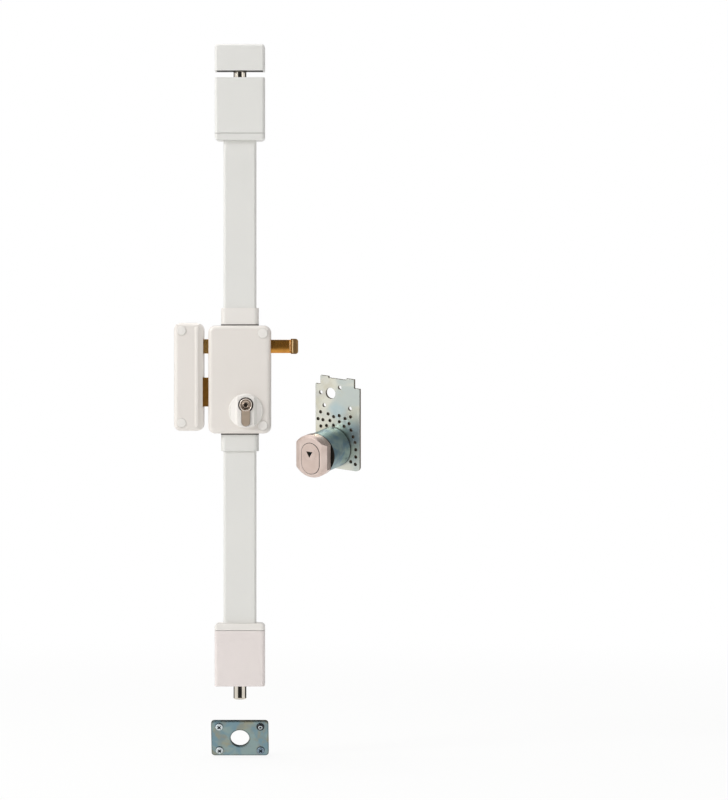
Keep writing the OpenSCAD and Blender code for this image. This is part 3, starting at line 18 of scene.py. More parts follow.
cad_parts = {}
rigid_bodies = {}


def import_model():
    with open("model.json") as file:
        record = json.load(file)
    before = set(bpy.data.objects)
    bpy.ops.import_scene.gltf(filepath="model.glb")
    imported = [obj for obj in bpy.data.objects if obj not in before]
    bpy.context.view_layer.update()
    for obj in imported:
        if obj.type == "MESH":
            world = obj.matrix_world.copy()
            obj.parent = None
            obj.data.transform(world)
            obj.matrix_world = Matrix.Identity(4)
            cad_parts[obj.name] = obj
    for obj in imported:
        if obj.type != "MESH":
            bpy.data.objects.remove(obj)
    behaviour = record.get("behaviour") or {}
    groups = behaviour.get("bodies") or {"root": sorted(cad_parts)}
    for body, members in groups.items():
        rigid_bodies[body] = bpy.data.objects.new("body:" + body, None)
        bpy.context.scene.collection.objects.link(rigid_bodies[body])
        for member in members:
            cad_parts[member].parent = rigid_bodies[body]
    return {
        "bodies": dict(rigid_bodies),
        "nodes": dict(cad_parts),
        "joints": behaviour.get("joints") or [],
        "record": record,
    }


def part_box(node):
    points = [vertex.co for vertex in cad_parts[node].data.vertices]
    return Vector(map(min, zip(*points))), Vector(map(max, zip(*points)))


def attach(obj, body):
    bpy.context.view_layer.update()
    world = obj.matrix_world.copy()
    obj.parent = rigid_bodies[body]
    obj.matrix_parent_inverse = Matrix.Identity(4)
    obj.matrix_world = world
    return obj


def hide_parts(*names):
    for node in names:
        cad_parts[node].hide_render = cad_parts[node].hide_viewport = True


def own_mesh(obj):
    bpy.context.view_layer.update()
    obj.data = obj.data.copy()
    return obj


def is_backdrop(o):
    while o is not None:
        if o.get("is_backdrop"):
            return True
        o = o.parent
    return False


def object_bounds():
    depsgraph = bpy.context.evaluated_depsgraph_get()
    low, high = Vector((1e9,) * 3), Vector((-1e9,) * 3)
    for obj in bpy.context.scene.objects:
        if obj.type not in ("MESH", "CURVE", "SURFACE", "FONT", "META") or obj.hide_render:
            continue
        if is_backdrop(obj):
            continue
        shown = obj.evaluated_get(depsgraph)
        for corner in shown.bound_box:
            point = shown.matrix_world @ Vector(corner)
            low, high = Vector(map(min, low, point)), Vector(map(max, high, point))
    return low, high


LOG = logging.getLogger("door_lock")
# One millimetre, and the distance below which two points are one, in metres
MM = 0.001
NEAR = 0.01 * MM
# Faces that meet at a larger angle are shaded with an edge between them
SHARP_DEG = 40.0
# Settings that many nodes share
SMOOTH = {"interpolation_type": "SMOOTHSTEP"}
RGBA = {"data_type": "RGBA"}
FLOAT = {"data_type": "FLOAT"}
DOT = {"operation": "DOT_PRODUCT"}
TIMES = {"operation": "MULTIPLY"}
Pair = tuple[float, float]
Triple = tuple[float, float, float]
Node = bpy.types.Node
Socket = bpy.types.NodeSocket
Tree = bpy.types.NodeTree
Shape = bmesh.types.BMesh
# What an input takes: an output, a node for its first output in use, or a constant
Source = Socket | Node | tuple | float


def linear(code: str) -> tuple[float, float, float, float]:
    """Turns an sRGB hex colour into a linear one.

    Args:
        code: the colour as six hex digits after a hash sign.

    Returns:
        Red, green, blue and an alpha of 1.
    """
    shares = [int(code[i:i + 2], 16) / 255 for i in (1, 3, 5)]
    straight_to = 0.04045
    red, green, blue = (
        s / 12.92 if s <= straight_to else ((s + 0.055) / 1.055) ** 2.4 for s in shares)
    return red, green, blue, 1.0


def per_metre(size_mm: float) -> float:
    """Gives the texture scale at which one feature of a pattern is size_mm wide."""
    return 1 / (size_mm * MM)


def feed(node: Node, inputs: dict[str | int, Source]) -> None:
    """Links nodes or outputs to a node's inputs, or sets the inputs to constants.

    Args:
        node: the node.
        inputs: what each input takes, by name or index.
    """
    for key, value in inputs.items():
        if isinstance(value, Node):
            value = next(output for output in value.outputs if output.enabled)
        if isinstance(value, Socket):
            node.id_data.links.new(value, node.inputs[key])
        else:
            node.inputs[key].default_value = value


def add_node(tree: Tree, kind: str, settings: dict | None = None,
             inputs: dict | None = None) -> Node:
    """Adds one shader node with its settings, values and links.

    Args:
        tree: the node tree that gets the node.
        kind: the node's type without its ShaderNode prefix.
        settings: the node's own properties, by name.
        inputs: what each input takes, by name or index.

    Returns:
        The new node.
    """
    node = tree.nodes.new("ShaderNode" + kind)
    for name, setting in (settings or {}).items():
        setattr(node, name, setting)
    feed(node, inputs or {})
    return node


def clear_tree(owner: bpy.types.Material | bpy.types.World) -> Tree:
    """Gives a material or a world an empty node tree.

    Args:
        owner: the material or the world.

    Returns:
        Its node tree.
    """
    owner.use_nodes = True
    owner.node_tree.nodes.clear()
    return owner.node_tree


class Grain(Enum):
    """Axis of the fine lines that a tool leaves on metal, as a stretch of their pattern."""

    NONE = (1.0, 1.0, 1.0)
    X = (0.03, 1.0, 1.0)
    Y = (1.0, 0.03, 1.0)
    Z = (1.0, 1.0, 0.03)


@dataclass
class Skin:
    """A material while it is built: its nodes and shader, and what its patterns start from.

    The place is the object coordinates, in metres. The normal has softened edges, as tumbling,
    paint or plating leaves them.
    """

    tree: Tree
    shader: Node
    place: Socket
    normal: Node

    def relief(self, pattern: Source, height_mm: float, share: float, dull: Pair) -> Node:
        """Raises the surface by a pattern that also changes its gloss.

        Args:
            pattern: the pattern, from 0 to 1.
            height_mm: how high it stands.
            share: how much of that height the light shows.
            dull: the roughness at the pattern's 0 and at its 1.

        Returns:
            The roughness.
        """
        bump = add_node(self.tree, "Bump", None, {
            "Height": pattern, "Distance": height_mm * MM, "Strength": share,
            "Normal": self.normal})
        feed(self.shader, {"Normal": bump})
        return add_node(self.tree, "MapRange", None,
                        {"Value": pattern, "To Min": dull[0], "To Max": dull[1]})

    def stain(self, color: Source, pattern: Source, span: Pair, share: float, tint: str) -> Node:
        """Stains a colour, softly, where a pattern is strong.

        Args:
            color: the colour.
            pattern: the pattern.
            span: where on it the stain starts and where it is full.
            share: the strength of the full stain.
            tint: its colour.

        Returns:
            The stained colour.
        """
        amount = add_node(self.tree, "MapRange", SMOOTH, {
            "Value": pattern, "From Min": span[0], "From Max": span[1], "To Max": share})
        return add_node(self.tree, "Mix", RGBA, {0: amount, 6: color, 7: linear(tint)})


@dataclass(frozen=True)
class Finish:
    """A surface finish, built once as a procedural material.

    The edges look as if rounded by edge_mm, and the bevel for it takes edge_rays samples.
    """

    name: str
    color: str
    roughness: float
    edge_mm: float = 0.25
    edge_rays: int = 4

    def material(self) -> bpy.types.Material:
        """Builds the material, or finds it if it has been built.

        Returns:
            The Blender material.
        """
        found = bpy.data.materials.get(self.name)
        if found is not None:
            return found
        made = bpy.data.materials.new(self.name)
        tree = clear_tree(made)
        shader = add_node(tree, "BsdfPrincipled", None,
                          {"Base Color": linear(self.color), "Roughness": self.roughness})
        add_node(tree, "OutputMaterial", None, {"Surface": shader})
        place = add_node(tree, "TexCoord").outputs["Object"]
        soft = add_node(tree, "Bevel", {"samples": self.edge_rays}, {"Radius": self.edge_mm * MM})
        self.detail(Skin(tree, shader, place, soft))
        return made

    def detail(self, skin: Skin) -> None:
        """Adds to the material so far what sets this kind of finish apart."""
        feed(skin.shader, {"Normal": skin.normal})


@dataclass(frozen=True)
class Grained(Finish):
    """A smooth or moulded surface with an even, fine relief, which shifts its roughness."""

    grain_mm: float = 0.5
    grain_steps: float = 3.0
    grain_height_mm: float = 0.01
    grain_share: float = 0.5
    grain_gloss: Pair = (-0.05, 0.08)
    ior: float = 1.53

    def detail(self, skin: Skin) -> None:
        """Adds the relief.

        Args:
            skin: the material so far.
        """
        grain = add_node(skin.tree, "TexNoise", None, {
            "Vector": skin.place, "Scale": per_metre(self.grain_mm), "Detail": self.grain_steps})
        low, high = self.grain_gloss
        dull = skin.relief(grain, self.grain_height_mm, self.grain_share,
                           (self.roughness + low, self.roughness + high))
        feed(skin.shader, {"Roughness": dull, "IOR": self.ior})


@dataclass(frozen=True)
class BakedEnamel(Grained):
    """White stoving enamel, sprayed on pressed steel.

    It flows out to a smooth, half-glossy skin with a faint orange peel, and its white drifts
    slightly over a large part.
    """

    grain_mm: float = 2.2
    grain_steps: float = 2.0
    grain_height_mm: float = 0.012
    grain_share: float = 0.6
    grain_gloss: Pair = (-0.04, 0.06)
    ior: float = 1.5
    drift_mm: float = 70.0
    drift: float = 0.035
    coat: float = 0.2
    coat_roughness: float = 0.2

    def detail(self, skin: Skin) -> None:
        """Adds the orange peel, the drift of the white and a thin clear skin.

        Args:
            skin: the material so far.
        """
        super().detail(skin)
        cloud = add_node(skin.tree, "TexNoise", None, {
            "Vector": skin.place, "Scale": per_metre(self.drift_mm), "Detail": 1.0})
        color = linear(self.color)
        darker = tuple(c * (1 - self.drift) for c in color[:3]) + (1.0,)
        tone = add_node(skin.tree, "Mix", RGBA, {0: cloud, 6: color, 7: darker})
        feed(skin.shader, {"Base Color": tone, "Coat Weight": self.coat,
                           "Coat Roughness": self.coat_roughness})


@dataclass(frozen=True)
class MouldedPlastic(Grained):
    """Moulded ABS, nylon or rubber, dulled by the fine spark-eroded grain of its mould.

    Milky plastic lets a share of the light in, to about depth_mm, and red goes deepest.
    """

    milky: float = 0.0
    depth_mm: float = 1.5
    depth_tint: Triple = (1.0, 0.9, 0.8)

    def detail(self, skin: Skin) -> None:
        """Adds the mould's grain and, for nylon, a little light inside the plastic."""
        super().detail(skin)
        feed(skin.shader, {"Subsurface Weight": self.milky,
                           "Subsurface Radius": self.depth_tint,
                           "Subsurface Scale": self.depth_mm * MM})


@dataclass(frozen=True)
class Layer:
    """Ground above or below a flat face that looks different, such as a bore full of shade.

    The face lies at level_mm along the way. The fade is from it to where the layer starts and
    to where it is full.
    """

    way: Vector
    level_mm: float
    fade_mm: Pair
    tint: str
    roughness: float = 0.6

    def lay(self, skin: Skin, color: Source, roughness: Source) -> tuple[Node, Node]:
        """Mixes the layer into a metal.

        Args:
            skin: the material so far.
            color: the metal's colour.
            roughness: the metal's roughness.

        Returns:
            The mixed colour and roughness.
        """
        along = add_node(skin.tree, "VectorMath", DOT, {0: skin.place, 1: tuple(self.way)})
        start, full = ((self.level_mm + fade) * MM for fade in self.fade_mm)
        share = add_node(skin.tree, "MapRange", None,
                         {"Value": along, "From Min": start, "From Max": full})
        tone = add_node(skin.tree, "Mix", RGBA, {0: share, 6: color, 7: linear(self.tint)})
        dull = add_node(skin.tree, "Mix", FLOAT, {0: share, 2: roughness, 3: self.roughness})
        return tone, dull


@dataclass(frozen=True)
class WorkedMetal(Finish):
    """Bare or plated metal with the lines of its last working: drawn, brushed, turned or rolled.

    The lines multiply the roughness by line_gloss. Edges are where softened and plain normal
    part, as cosines. They are made bright as wear by the factor and rise of polish or, where
    edge_shade has a tint, darkened as painted shade. Below a metallic share of 1, a dull film
    scatters some of the light.
    """

    grain: Grain = Grain.NONE
    line_mm: float = 0.35
    line_depth_mm: float = 0.004
    line_share: float = 0.5
    line_gloss: Pair = (0.75, 1.3)
    tarnish: str = "#808080"
    tarnish_share: float = 0.25
    tarnish_span: Pair = (0.35, 0.75)
    patch_mm: float = 14.0
    edge_span: Pair = (0.995, 0.9)
    polish: Pair = (1.25, 0.04)
    edge_strength: float = 0.35
    edge_shade: str = ""
    metallic: float = 1.0
    layers: tuple[Layer, ...] = ()

    def detail(self, skin: Skin) -> None:
        """Adds the lines, the patches of tarnish, the rubbed edges and the layers.

        Args:
            skin: the material so far.
        """
        tree = skin.tree
        stretch = add_node(tree, "Mapping", None, {"Vector": skin.place, "Scale": self.grain.value})
        lines = add_node(tree, "TexNoise", None, {
            "Vector": stretch, "Scale": per_metre(self.line_mm), "Detail": 2.0})
        low, high = self.line_gloss
        roughness = skin.relief(lines, self.line_depth_mm, self.line_share,
                                (self.roughness * low, self.roughness * high))
        plain = add_node(tree, "NewGeometry").outputs["Normal"]
        same = add_node(tree, "VectorMath", DOT, {0: skin.normal, 1: plain})
        edge_wear_and_shade = add_node(tree, "MapRange", None, {
            "Value": same, "From Min": self.edge_span[0], "From Max": self.edge_span[1],
            "To Max": self.edge_strength})
        factor, rise = self.polish
        bright = tuple(min(1.0, c * factor + rise) for c in linear(self.color)[:3]) + (1.0,)
        # Edges: bright from wear, or darkened by edge_shade as painted shade
        color = add_node(tree, "Mix", RGBA, {
            0: edge_wear_and_shade, 6: self.patches(skin), 7: linear(self.edge_shade) if self.edge_shade else bright})
        for layer in self.layers:
            color, roughness = layer.lay(skin, color, roughness)
        feed(skin.shader, {"Base Color": color, "Roughness": roughness, "Metallic": self.metallic})

    def patches(self, skin: Skin) -> Node:
        """Stains the metal's colour with soft patches of its tarnish, and returns it."""
        cloud = add_node(skin.tree, "TexNoise", None, {
            "Vector": skin.place, "Scale": per_metre(self.patch_mm), "Detail": 3.0})
        return skin.stain(linear(self.color), cloud, self.tarnish_span, self.tarnish_share,
                          self.tarnish)


@dataclass(frozen=True)
class Pool:
    """A soft stain where the chromate bath dried last, placed as seen from the front."""

    x: float
    z: float
    reach_mm: float
    tint: str
    share: float


@dataclass(frozen=True)
class PassivatedZinc(WorkedMetal):
    """Zinc plating passed through a chromate bath, which leaves clouds of blue, straw and violet.

    Each cloud tint has its share, its pattern's shift in metres and the noise level where it
    starts; it is full cloud_soft above that. Pools have a frayed edge: they start and are full
    at the shares pool_span of their reach.
    """

    cool: str = "#9DB4BA"
    straw: str = "#CFC6A6"
    violet: str = "#A5A3B4"
    clouds: tuple[Triple, ...] = ((1.0, 0.0, 0.42), (0.8, 3.7, 0.50), (0.6, 8.1, 0.56))
    cloud_mm: float = 30.0
    cloud_soft: float = 0.2
    cloud_swirl: float = 0.6
    strength: float = 0.45
    pools: tuple[Pool, ...] = ()
    pool_span: Pair = (1.25, 0.5)
    fray_mm: float = 9.0
    fray_share: float = 0.5

    def patches(self, skin: Skin) -> Node:
        """Lays the three interference tints over the zinc in soft clouds, then the pools.

        Args:
            skin: the material so far.

        Returns:
            The colour of the zinc.
        """
        color = linear(self.color)
        for tint, (share, shift, start) in zip((self.cool, self.straw, self.violet), self.clouds):
            moved = add_node(skin.tree, "Mapping", None,
                             {"Vector": skin.place, "Location": (shift, shift, -shift)})
            cloud = add_node(skin.tree, "TexNoise", None, {
                "Vector": moved, "Scale": per_metre(self.cloud_mm), "Detail": 2.0,
                "Distortion": self.cloud_swirl})
            color = skin.stain(color, cloud, (start, start + self.cloud_soft),
                               share * self.strength, tint)
        flat = add_node(skin.tree, "VectorMath", TIMES, {0: skin.place, 1: (1.0, 0.0, 1.0)})
        fray = add_node(skin.tree, "TexNoise", None, {
            "Vector": skin.place, "Scale": per_metre(self.fray_mm), "Detail": 2.0})
        for pool in self.pools:
            size = pool.reach_mm * MM
            away = add_node(skin.tree, "VectorMath", {"operation": "DISTANCE"},
                            {0: flat, 1: (pool.x, 0.0, pool.z)})
            frayed = add_node(skin.tree, "Math", {"operation": "MULTIPLY_ADD"},
                              {0: fray, 1: self.fray_share * size, 2: away})
            start, full = (reach * size for reach in self.pool_span)
            color = skin.stain(color, frayed, (start, full), pool.share, pool.tint)
        return color


# Stoving enamel on pressed steel: smooth and half-glossy. The parts differ a little in tone,
# so there is a warm, a cool and a rosy white.
CASE_ENAMEL = BakedEnamel("enamel_warm_white", "#ECE6E0", 0.36)
BAR_ENAMEL = BakedEnamel("enamel_cool_white", "#E8E7E3", 0.46)
FOOT_ENAMEL = BakedEnamel("enamel_rose_white", "#ECE3E0", 0.46)
# Moulded ABS, whiter and duller than the enamel, and milky nylon
WHITE_ABS = MouldedPlastic("abs_white", "#EDE9E4", 0.42)
COOL_ABS = MouldedPlastic("abs_cool_white", "#E4E3DF", 0.42)
NATURAL_NYLON = MouldedPlastic("nylon_natural", "#E2DCC9", 0.5, milky=0.3)
# Painted shade: dark, dull strips in the guard's joint and in the joints between case and
# sleeves
JOINT_SHADE_BLACK = MouldedPlastic("joint_shade_black", "#1C1A19", 0.6)
JOINT_SHADE_GREY = MouldedPlastic("joint_shade_grey", "#413D38", 0.6)
# Extruded brass, drawn along its length: warm, half-polished, lines along the bar. A light
# latch, a grip darker and duller towards its end, beads in a bright brass that is a painted
# highlight, and the cut wheel differ from it.
DRAWN_BRASS = WorkedMetal(
    "brass_drawn", "#D99A45", 0.22, grain=Grain.X, tarnish="#9A6224", tarnish_share=0.5,
    metallic=0.82)
LATCH_BRASS = replace(DRAWN_BRASS, name="brass_latch", color="#E8B468", tarnish_share=0.3)
BEAD_HIGHLIGHT_BRASS = WorkedMetal(
    "brass_painted_highlight", "#F0D2A0", 0.3, tarnish="#D9B070", tarnish_share=0.3, metallic=0.7)
WHEEL_BRASS = WorkedMetal("brass_cut", "#CFA45E", 0.3, tarnish="#8F6C3A")
# Nickel over brass: the plug is bright, the body brushed and slightly warm, the guard's head
# rosy and softer in its shine
BRIGHT_NICKEL = WorkedMetal(
    "nickel_bright", "#C4B2A2", 0.22, line_depth_mm=0.002, tarnish="#8E8274",
    tarnish_share=0.3)
BRUSHED_NICKEL = WorkedMetal(
    "nickel_brushed", "#D6C2AD", 0.44, grain=Grain.Z, tarnish="#A8947F",
    tarnish_share=0.4, metallic=0.7)
ROSE_NICKEL = WorkedMetal(
    "nickel_rose", "#DCCAC1", 0.33, grain=Grain.Z, tarnish="#BDA79C", tarnish_share=0.4,
    metallic=0.8)
# Zinc with a chromate film: cool grey with clouds of blue, straw and violet; the dark rims
# are painted shade
GUARD_ZINC = PassivatedZinc(
    "zinc_chromated", "#DEDDD0", 0.34, grain=Grain.Z, edge_mm=0.5, edge_shade="#6B665C",
    edge_strength=0.6)
BARREL_ZINC = PassivatedZinc(
    "zinc_chromated_blue", "#93A9A6", 0.4, grain=Grain.Y, cool="#66849A",
    straw="#93A79B", violet="#66738A", strength=0.68, cloud_mm=15.0, metallic=0.75)
FLOOR_ZINC = PassivatedZinc(
    "zinc_chromated_dark", "#8B9E9C", 0.36, grain=Grain.X, edge_mm=2.6, edge_shade="#4C473D",
    edge_strength=0.9, cloud_mm=17.0, cool="#6A8B9B", straw="#A09068", violet="#7B7788", strength=0.62)
# Plain zinc: bright on screws, rolled and spotted on plates, dull and rough where it is cast
SCREW_ZINC = WorkedMetal("zinc_bright", "#C4D0D4", 0.25, tarnish="#7F97A3", tarnish_share=0.35)
PLATE_ZINC = WorkedMetal(
    "zinc_rolled_steel", "#B4B9BB", 0.38, grain=Grain.Z, tarnish="#7F8689",
    tarnish_share=0.4)
DIE_CAST_ZINC = WorkedMetal(
    "zinc_die_cast", "#A5A9AC", 0.5, line_mm=0.8, line_depth_mm=0.015, tarnish="#74797C",
    tarnish_share=0.4)
# Cold-drawn steel of the rods, the plated round bolts, and dark spring and oxidised steel
DRAWN_STEEL = WorkedMetal(
    "steel_drawn", "#A9AEB2", 0.32, grain=Grain.Z, tarnish="#6D7276", tarnish_share=0.4)
PLATED_STEEL = WorkedMetal(
    "steel_nickel_plated", "#DAD3C6", 0.09, line_depth_mm=0.001, tarnish="#8C857A",
    tarnish_share=0.2)
SPRING_STEEL = WorkedMetal("steel_spring", "#6F7479", 0.3, tarnish="#3E4247")
OXIDE_STEEL = WorkedMetal("steel_black_oxide", "#4A4D50", 0.42, tarnish="#26282A")
# Screw heads of the floor plate: pale zinc, one painted black as a dark reflection, one with a
# blue film, all with shade in their crosses
PALE_SCREW = WorkedMetal(
    "screw_pale", "#DCE4E6", 0.45, tarnish="#A9BBC4", tarnish_share=0.4, metallic=0.35)
CROSS_SHADE = WorkedMetal("screw_cross", "#2B3744", 0.6, tarnish="#1B232B", edge_strength=0.0, metallic=0.5)
DARK_REFLECTION_SCREW = WorkedMetal("screw_painted_dark_reflection", "#303133", 0.4, tarnish="#26282A", metallic=0.6)
BLUE_SCREW = WorkedMetal(
    "screw_blue", "#8397A6", 0.45, tarnish="#5E7180", tarnish_share=0.6, metallic=0.4)


@dataclass
class Assembly:
    """A sub-assembly of the lock."""

    frame: dict

    def dress(self, finish: Finish, *nodes: str) -> None:
        """Gives carried-over pieces their finish.

        Args:
            finish: the finish.
            nodes: the names of the pieces.
        """
        for node in nodes:
            self.frame["nodes"][node].material_slots[0].material = finish.material()
            LOG.info("%s: %s", node, finish.name)

    def reach(self, node: str, way: Vector) -> float:
        """Measures how far, in mm, a piece reaches along a direction of length 1."""
        return max(way.dot(v.co) for v in self.frame["nodes"][node].data.vertices) / MM

    def add(self, name: str, shape: Shape, finishes: tuple[Finish, ...], body: str,
            slot: str) -> bpy.types.Object:
        """Turns a finished bmesh, in metres and in place, into a piece of the lock.

        Args:
            name: the piece's name.
            shape: the bmesh, which is used up.
            finishes: one finish for each material index of its faces.
            body: the body that the piece moves with.
            slot: not used.

        Returns:
            The new piece.
        """
        ends = [edge for edge in shape.edges if edge.is_boundary]
        bmesh.ops.holes_fill(shape, edges=ends, sides=0)
        bmesh.ops.recalc_face_normals(shape, faces=shape.faces)
        mesh = bpy.data.meshes.new(name)
        shape.to_mesh(mesh)
        shape.free()
        mesh.shade_smooth()
        mesh.set_sharp_from_angle(angle=math.radians(SHARP_DEG))
        for finish in finishes:
            mesh.materials.append(finish.material())
        piece = bpy.data.objects.new(name, mesh)
        bpy.context.scene.collection.objects.link(piece)
        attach(piece, body)
        LOG.info("%s: %d faces, on %s", name, len(mesh.polygons), body)
        return piece


@dataclass
class LockCase(Assembly):
    """The lock case: cover, caps and escutcheon outside, backplate and bridge inside.

    A thin dark strip of painted shade fills the joint between the case and each sleeve, a hair
    proud of it.
    """

    shade_strip_mm: float = 1.4
    proud_mm: float = 0.12
    corner_mm: float = 3.0

    def build(self) -> None:
        """Dresses the case's pieces and adds the strips of painted shade."""
        self.shade_strips()
        self.dress(CASE_ENAMEL, "case_cover")
        self.dress(WHITE_ABS, "case_caps", "escutcheon")
        self.dress(PLATE_ZINC, "backplate", "slide_guide")
        self.dress(SCREW_ZINC, "case_screws", "cylinder_screw")

    def shade_strips(self) -> None:
        """Cuts each strip of painted shade to the outline of its sleeve and raises it to its
        thickness.
        """
        shape = bmesh.new()
        for end, side in (("upper", 1), ("lower", -1)):
            low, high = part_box(end + "_sleeve")
            wide, deep = high.x - low.x + 2 * self.proud_mm * MM, high.y - low.y
            start = low.z if side > 0 else high.z
            place = Matrix.Translation((0.0, (low.y + high.y) / 2 - self.proud_mm * MM / 2, start))
            made = bmesh.ops.create_grid(shape, x_segments=1, y_segments=1, size=0.5,
                                         matrix=place @ Matrix.Diagonal((wide, deep, 1.0, 1.0)))
            front = [v for v in made["verts"] if v.co.y < place.translation.y]
            bmesh.ops.bevel(shape, geom=front, offset=self.corner_mm * MM, segments=6,
                            profile=0.5, affect="VERTICES", material=-1)
            face = max((f for f in shape.faces if abs(f.calc_center_median().z - start) < NEAR),
                       key=lambda f: f.calc_area())
            raised = bmesh.ops.extrude_face_region(shape, geom=[face], use_keep_orig=True)["geom"]
            bmesh.ops.translate(shape, vec=(0.0, 0.0, side * self.shade_strip_mm * MM),
                                verts=[v for v in raised if isinstance(v, bmesh.types.BMVert)])
        # Dark strips in the case–sleeve joints: painted shade
        self.add("case_joint_shade", shape, (JOINT_SHADE_GREY,), "lock", "dark_steel")


@dataclass
class KeyCylinder(Assembly):
    """The key cylinder with its plugs, and the gear that the key turns.

    The collar stands proud of the brushed face and is polished. The groove round it is painted
    dark as shade.
    """

    collar_mm: float = 0.8
    collar_fade_mm: Pair = (0.05, 0.2)
    collar_tint: str = "#F2E4D8"
    collar_roughness: float = 0.16
    groove_mm: float = 3.2
    groove_fade_mm: Pair = (-0.2, -0.4)
    groove_shade: str = "#3A332E"

    def build(self) -> None:
        """Dresses the cylinder's pieces."""
        front = Vector((0.0, -1.0, 0.0))
        metal = BRUSHED_NICKEL
        face = self.reach("cylinder_body", front) - self.collar_mm
        # The groove's dark tint is painted shade
        layers = (
            Layer(front, face, self.groove_fade_mm, self.groove_shade),
            Layer(front, face - self.groove_mm, self.groove_fade_mm, metal.color,
                  metal.roughness),
            Layer(front, face, self.collar_fade_mm, self.collar_tint, self.collar_roughness))
        self.dress(replace(metal, layers=layers), "cylinder_body")
        self.dress(BRIGHT_NICKEL, "cylinder_plug", "cylinder_rear_plug")
        self.dress(WHEEL_BRASS, "cylinder_gear")


@dataclass
class GearDrive(Assembly):
    """The wheel, pinions and axle that drive the bolts."""

    def build(self) -> None:
        """Dresses the drive's pieces."""
        self.dress(WHEEL_BRASS, "drive_wheel")
        self.dress(DRAWN_STEEL, "drive_axle", "drive_pinions")
        self.dress(OXIDE_STEEL, "axle_clip")


@dataclass
class BoltWork(Assembly):
    """Dead bolt, latch, latch pull and what moves them.

    Two beads cross the pull, on its crowned bar and on the flat of its grip, each given by its
    distance from the pull's end, its bow and its reach to either side; their bright brass is a
    painted highlight. The spring has closed turns at its ends, with a pitch in wire radii, and
    free turns between. It keeps a share of its length when it is pressed.
    """

    beads_mm: tuple[Triple, ...] = ((9.1, 24.7, 6.8), (6.2, 400.0, 7.4))
    bead_r_mm: float = 0.75
    bead_sides: int = 10
    bead_steps: int = 12
    bar_front_mm: float = 25.5
    grip_mm: float = 5.4
    grip_fade_mm: Pair = (0.0, 0.6)
    grip_tint: str = "#A07C4E"
    grip_roughness: float = 0.42
    spring_wire_mm: float = 1.4
    spring_sides: int = 12
    spring_turns: tuple[int, int] = (1, 5)
    spring_pitch: float = 2.1
    spring_steps: int = 24
    spring_keep: float = 0.48

    def build(self) -> None:
        """Dresses the bolt work's pieces, lays the beads across the pull and winds the spring."""
        self.beads()
        way = Vector((1.0, 0.0, 0.0))
        # The grip's end is darker and duller
        grip = Layer(way, self.reach("latch_pull", way) - self.grip_mm, self.grip_fade_mm,
                     self.grip_tint, self.grip_roughness)
        self.dress(replace(DRAWN_BRASS, name="brass_pull", layers=(grip,)), "latch_pull")
        self.dress(DRAWN_BRASS, "dead_bolt")
        self.dress(LATCH_BRASS, "latch_bolt")
        self.dress(DRAWN_STEEL, "dead_bolt_rack", "dead_bolt_rivets", "latch_rod")
        self.spring()

    def beads(self) -> None:
        """Turns each bead about the axis of the bow that it follows."""
        low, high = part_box("latch_pull")
        middle = (low.z + high.z) / 2
        shape = bmesh.new()
        for (back, bow, half), front in zip(self.beads_mm, (self.bar_front_mm * MM, -low.y)):
            axis = Vector((high.x - back * MM, bow * MM - front, middle))
            arc = 2 * math.asin(half / bow)
            wire = bmesh.ops.create_circle(
                shape, cap_ends=True, segments=self.bead_sides, radius=self.bead_r_mm * MM,
                matrix=Matrix.Translation(axis + Vector((0.0, -bow * MM, 0.0))))["verts"]
            bmesh.ops.rotate(shape, verts=wire, cent=axis, matrix=Matrix.Rotation(-arc / 2, 3, "X"))
            faces = list({face for vertex in wire for face in vertex.link_faces})
            bmesh.ops.spin(shape, geom=faces, cent=axis, axis=(1.0, 0.0, 0.0), angle=arc,
                           steps=self.bead_steps)
        # The beads' bright brass is a painted highlight
        self.add("pull_highlight_beads", shape, (BEAD_HIGHLIGHT_BRASS,), "latch", "brass")

    def spring(self) -> None:
        """Winds the latch spring, closed at both ends, in place of the carried-over one."""
        low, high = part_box("latch_spring")
        middle = (low + high) / 2
        wire = self.spring_wire_mm / 2 * MM
        coil = (high.z - low.z) / 2 - wire
        start = Vector((low.x + wire, middle.y, middle.z + coil))
        shape = bmesh.new()
        ring = bmesh.ops.create_circle(
            shape, segments=self.spring_sides, radius=wire,
            matrix=Matrix.Translation(start) @ Matrix.Rotation(math.pi / 2, 4, "X"))["verts"]
        end = list({edge for vertex in ring for edge in vertex.link_edges}) + list(ring)
        closed, free = self.spring_turns
        pitch = self.spring_pitch * wire
        rise = (high.x - low.x - 2 * wire - 2 * closed * pitch) / free
        for turns, climb in ((closed, pitch), (free, rise), (closed, pitch)):
            steps = turns * self.spring_steps
            end = bmesh.ops.spin(shape, geom=end, cent=middle, axis=(1.0, 0.0, 0.0),
                                 dvec=(turns * climb / steps, 0.0, 0.0),
                                 angle=turns * math.tau, steps=steps)["geom_last"]
        piece = self.add("latch_coil", shape, (SPRING_STEEL,), "lock", "dark_steel")
        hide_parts("latch_spring")
        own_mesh(piece)


@dataclass
class RodRun(Assembly):
    """One of the two rods, with its covers, housing, round bolt and guide."""

    end: str
    housing: Finish
    cap: Finish
    sleeve: Finish

    def build(self) -> None:
        """Dresses the pieces of this end of the lock."""
        for finish, *names in (
            (BAR_ENAMEL, "rod_cover"), (self.housing, "housing"), (self.cap, "housing_cap"),
            (self.sleeve, "sleeve"), (DRAWN_STEEL, "rod", "bolt_pin"),
            (PLATED_STEEL, "round_bolt"), (DIE_CAST_ZINC, "bolt_guide"),
        ):
            self.dress(finish, *(f"{self.end}_{name}" for name in names))


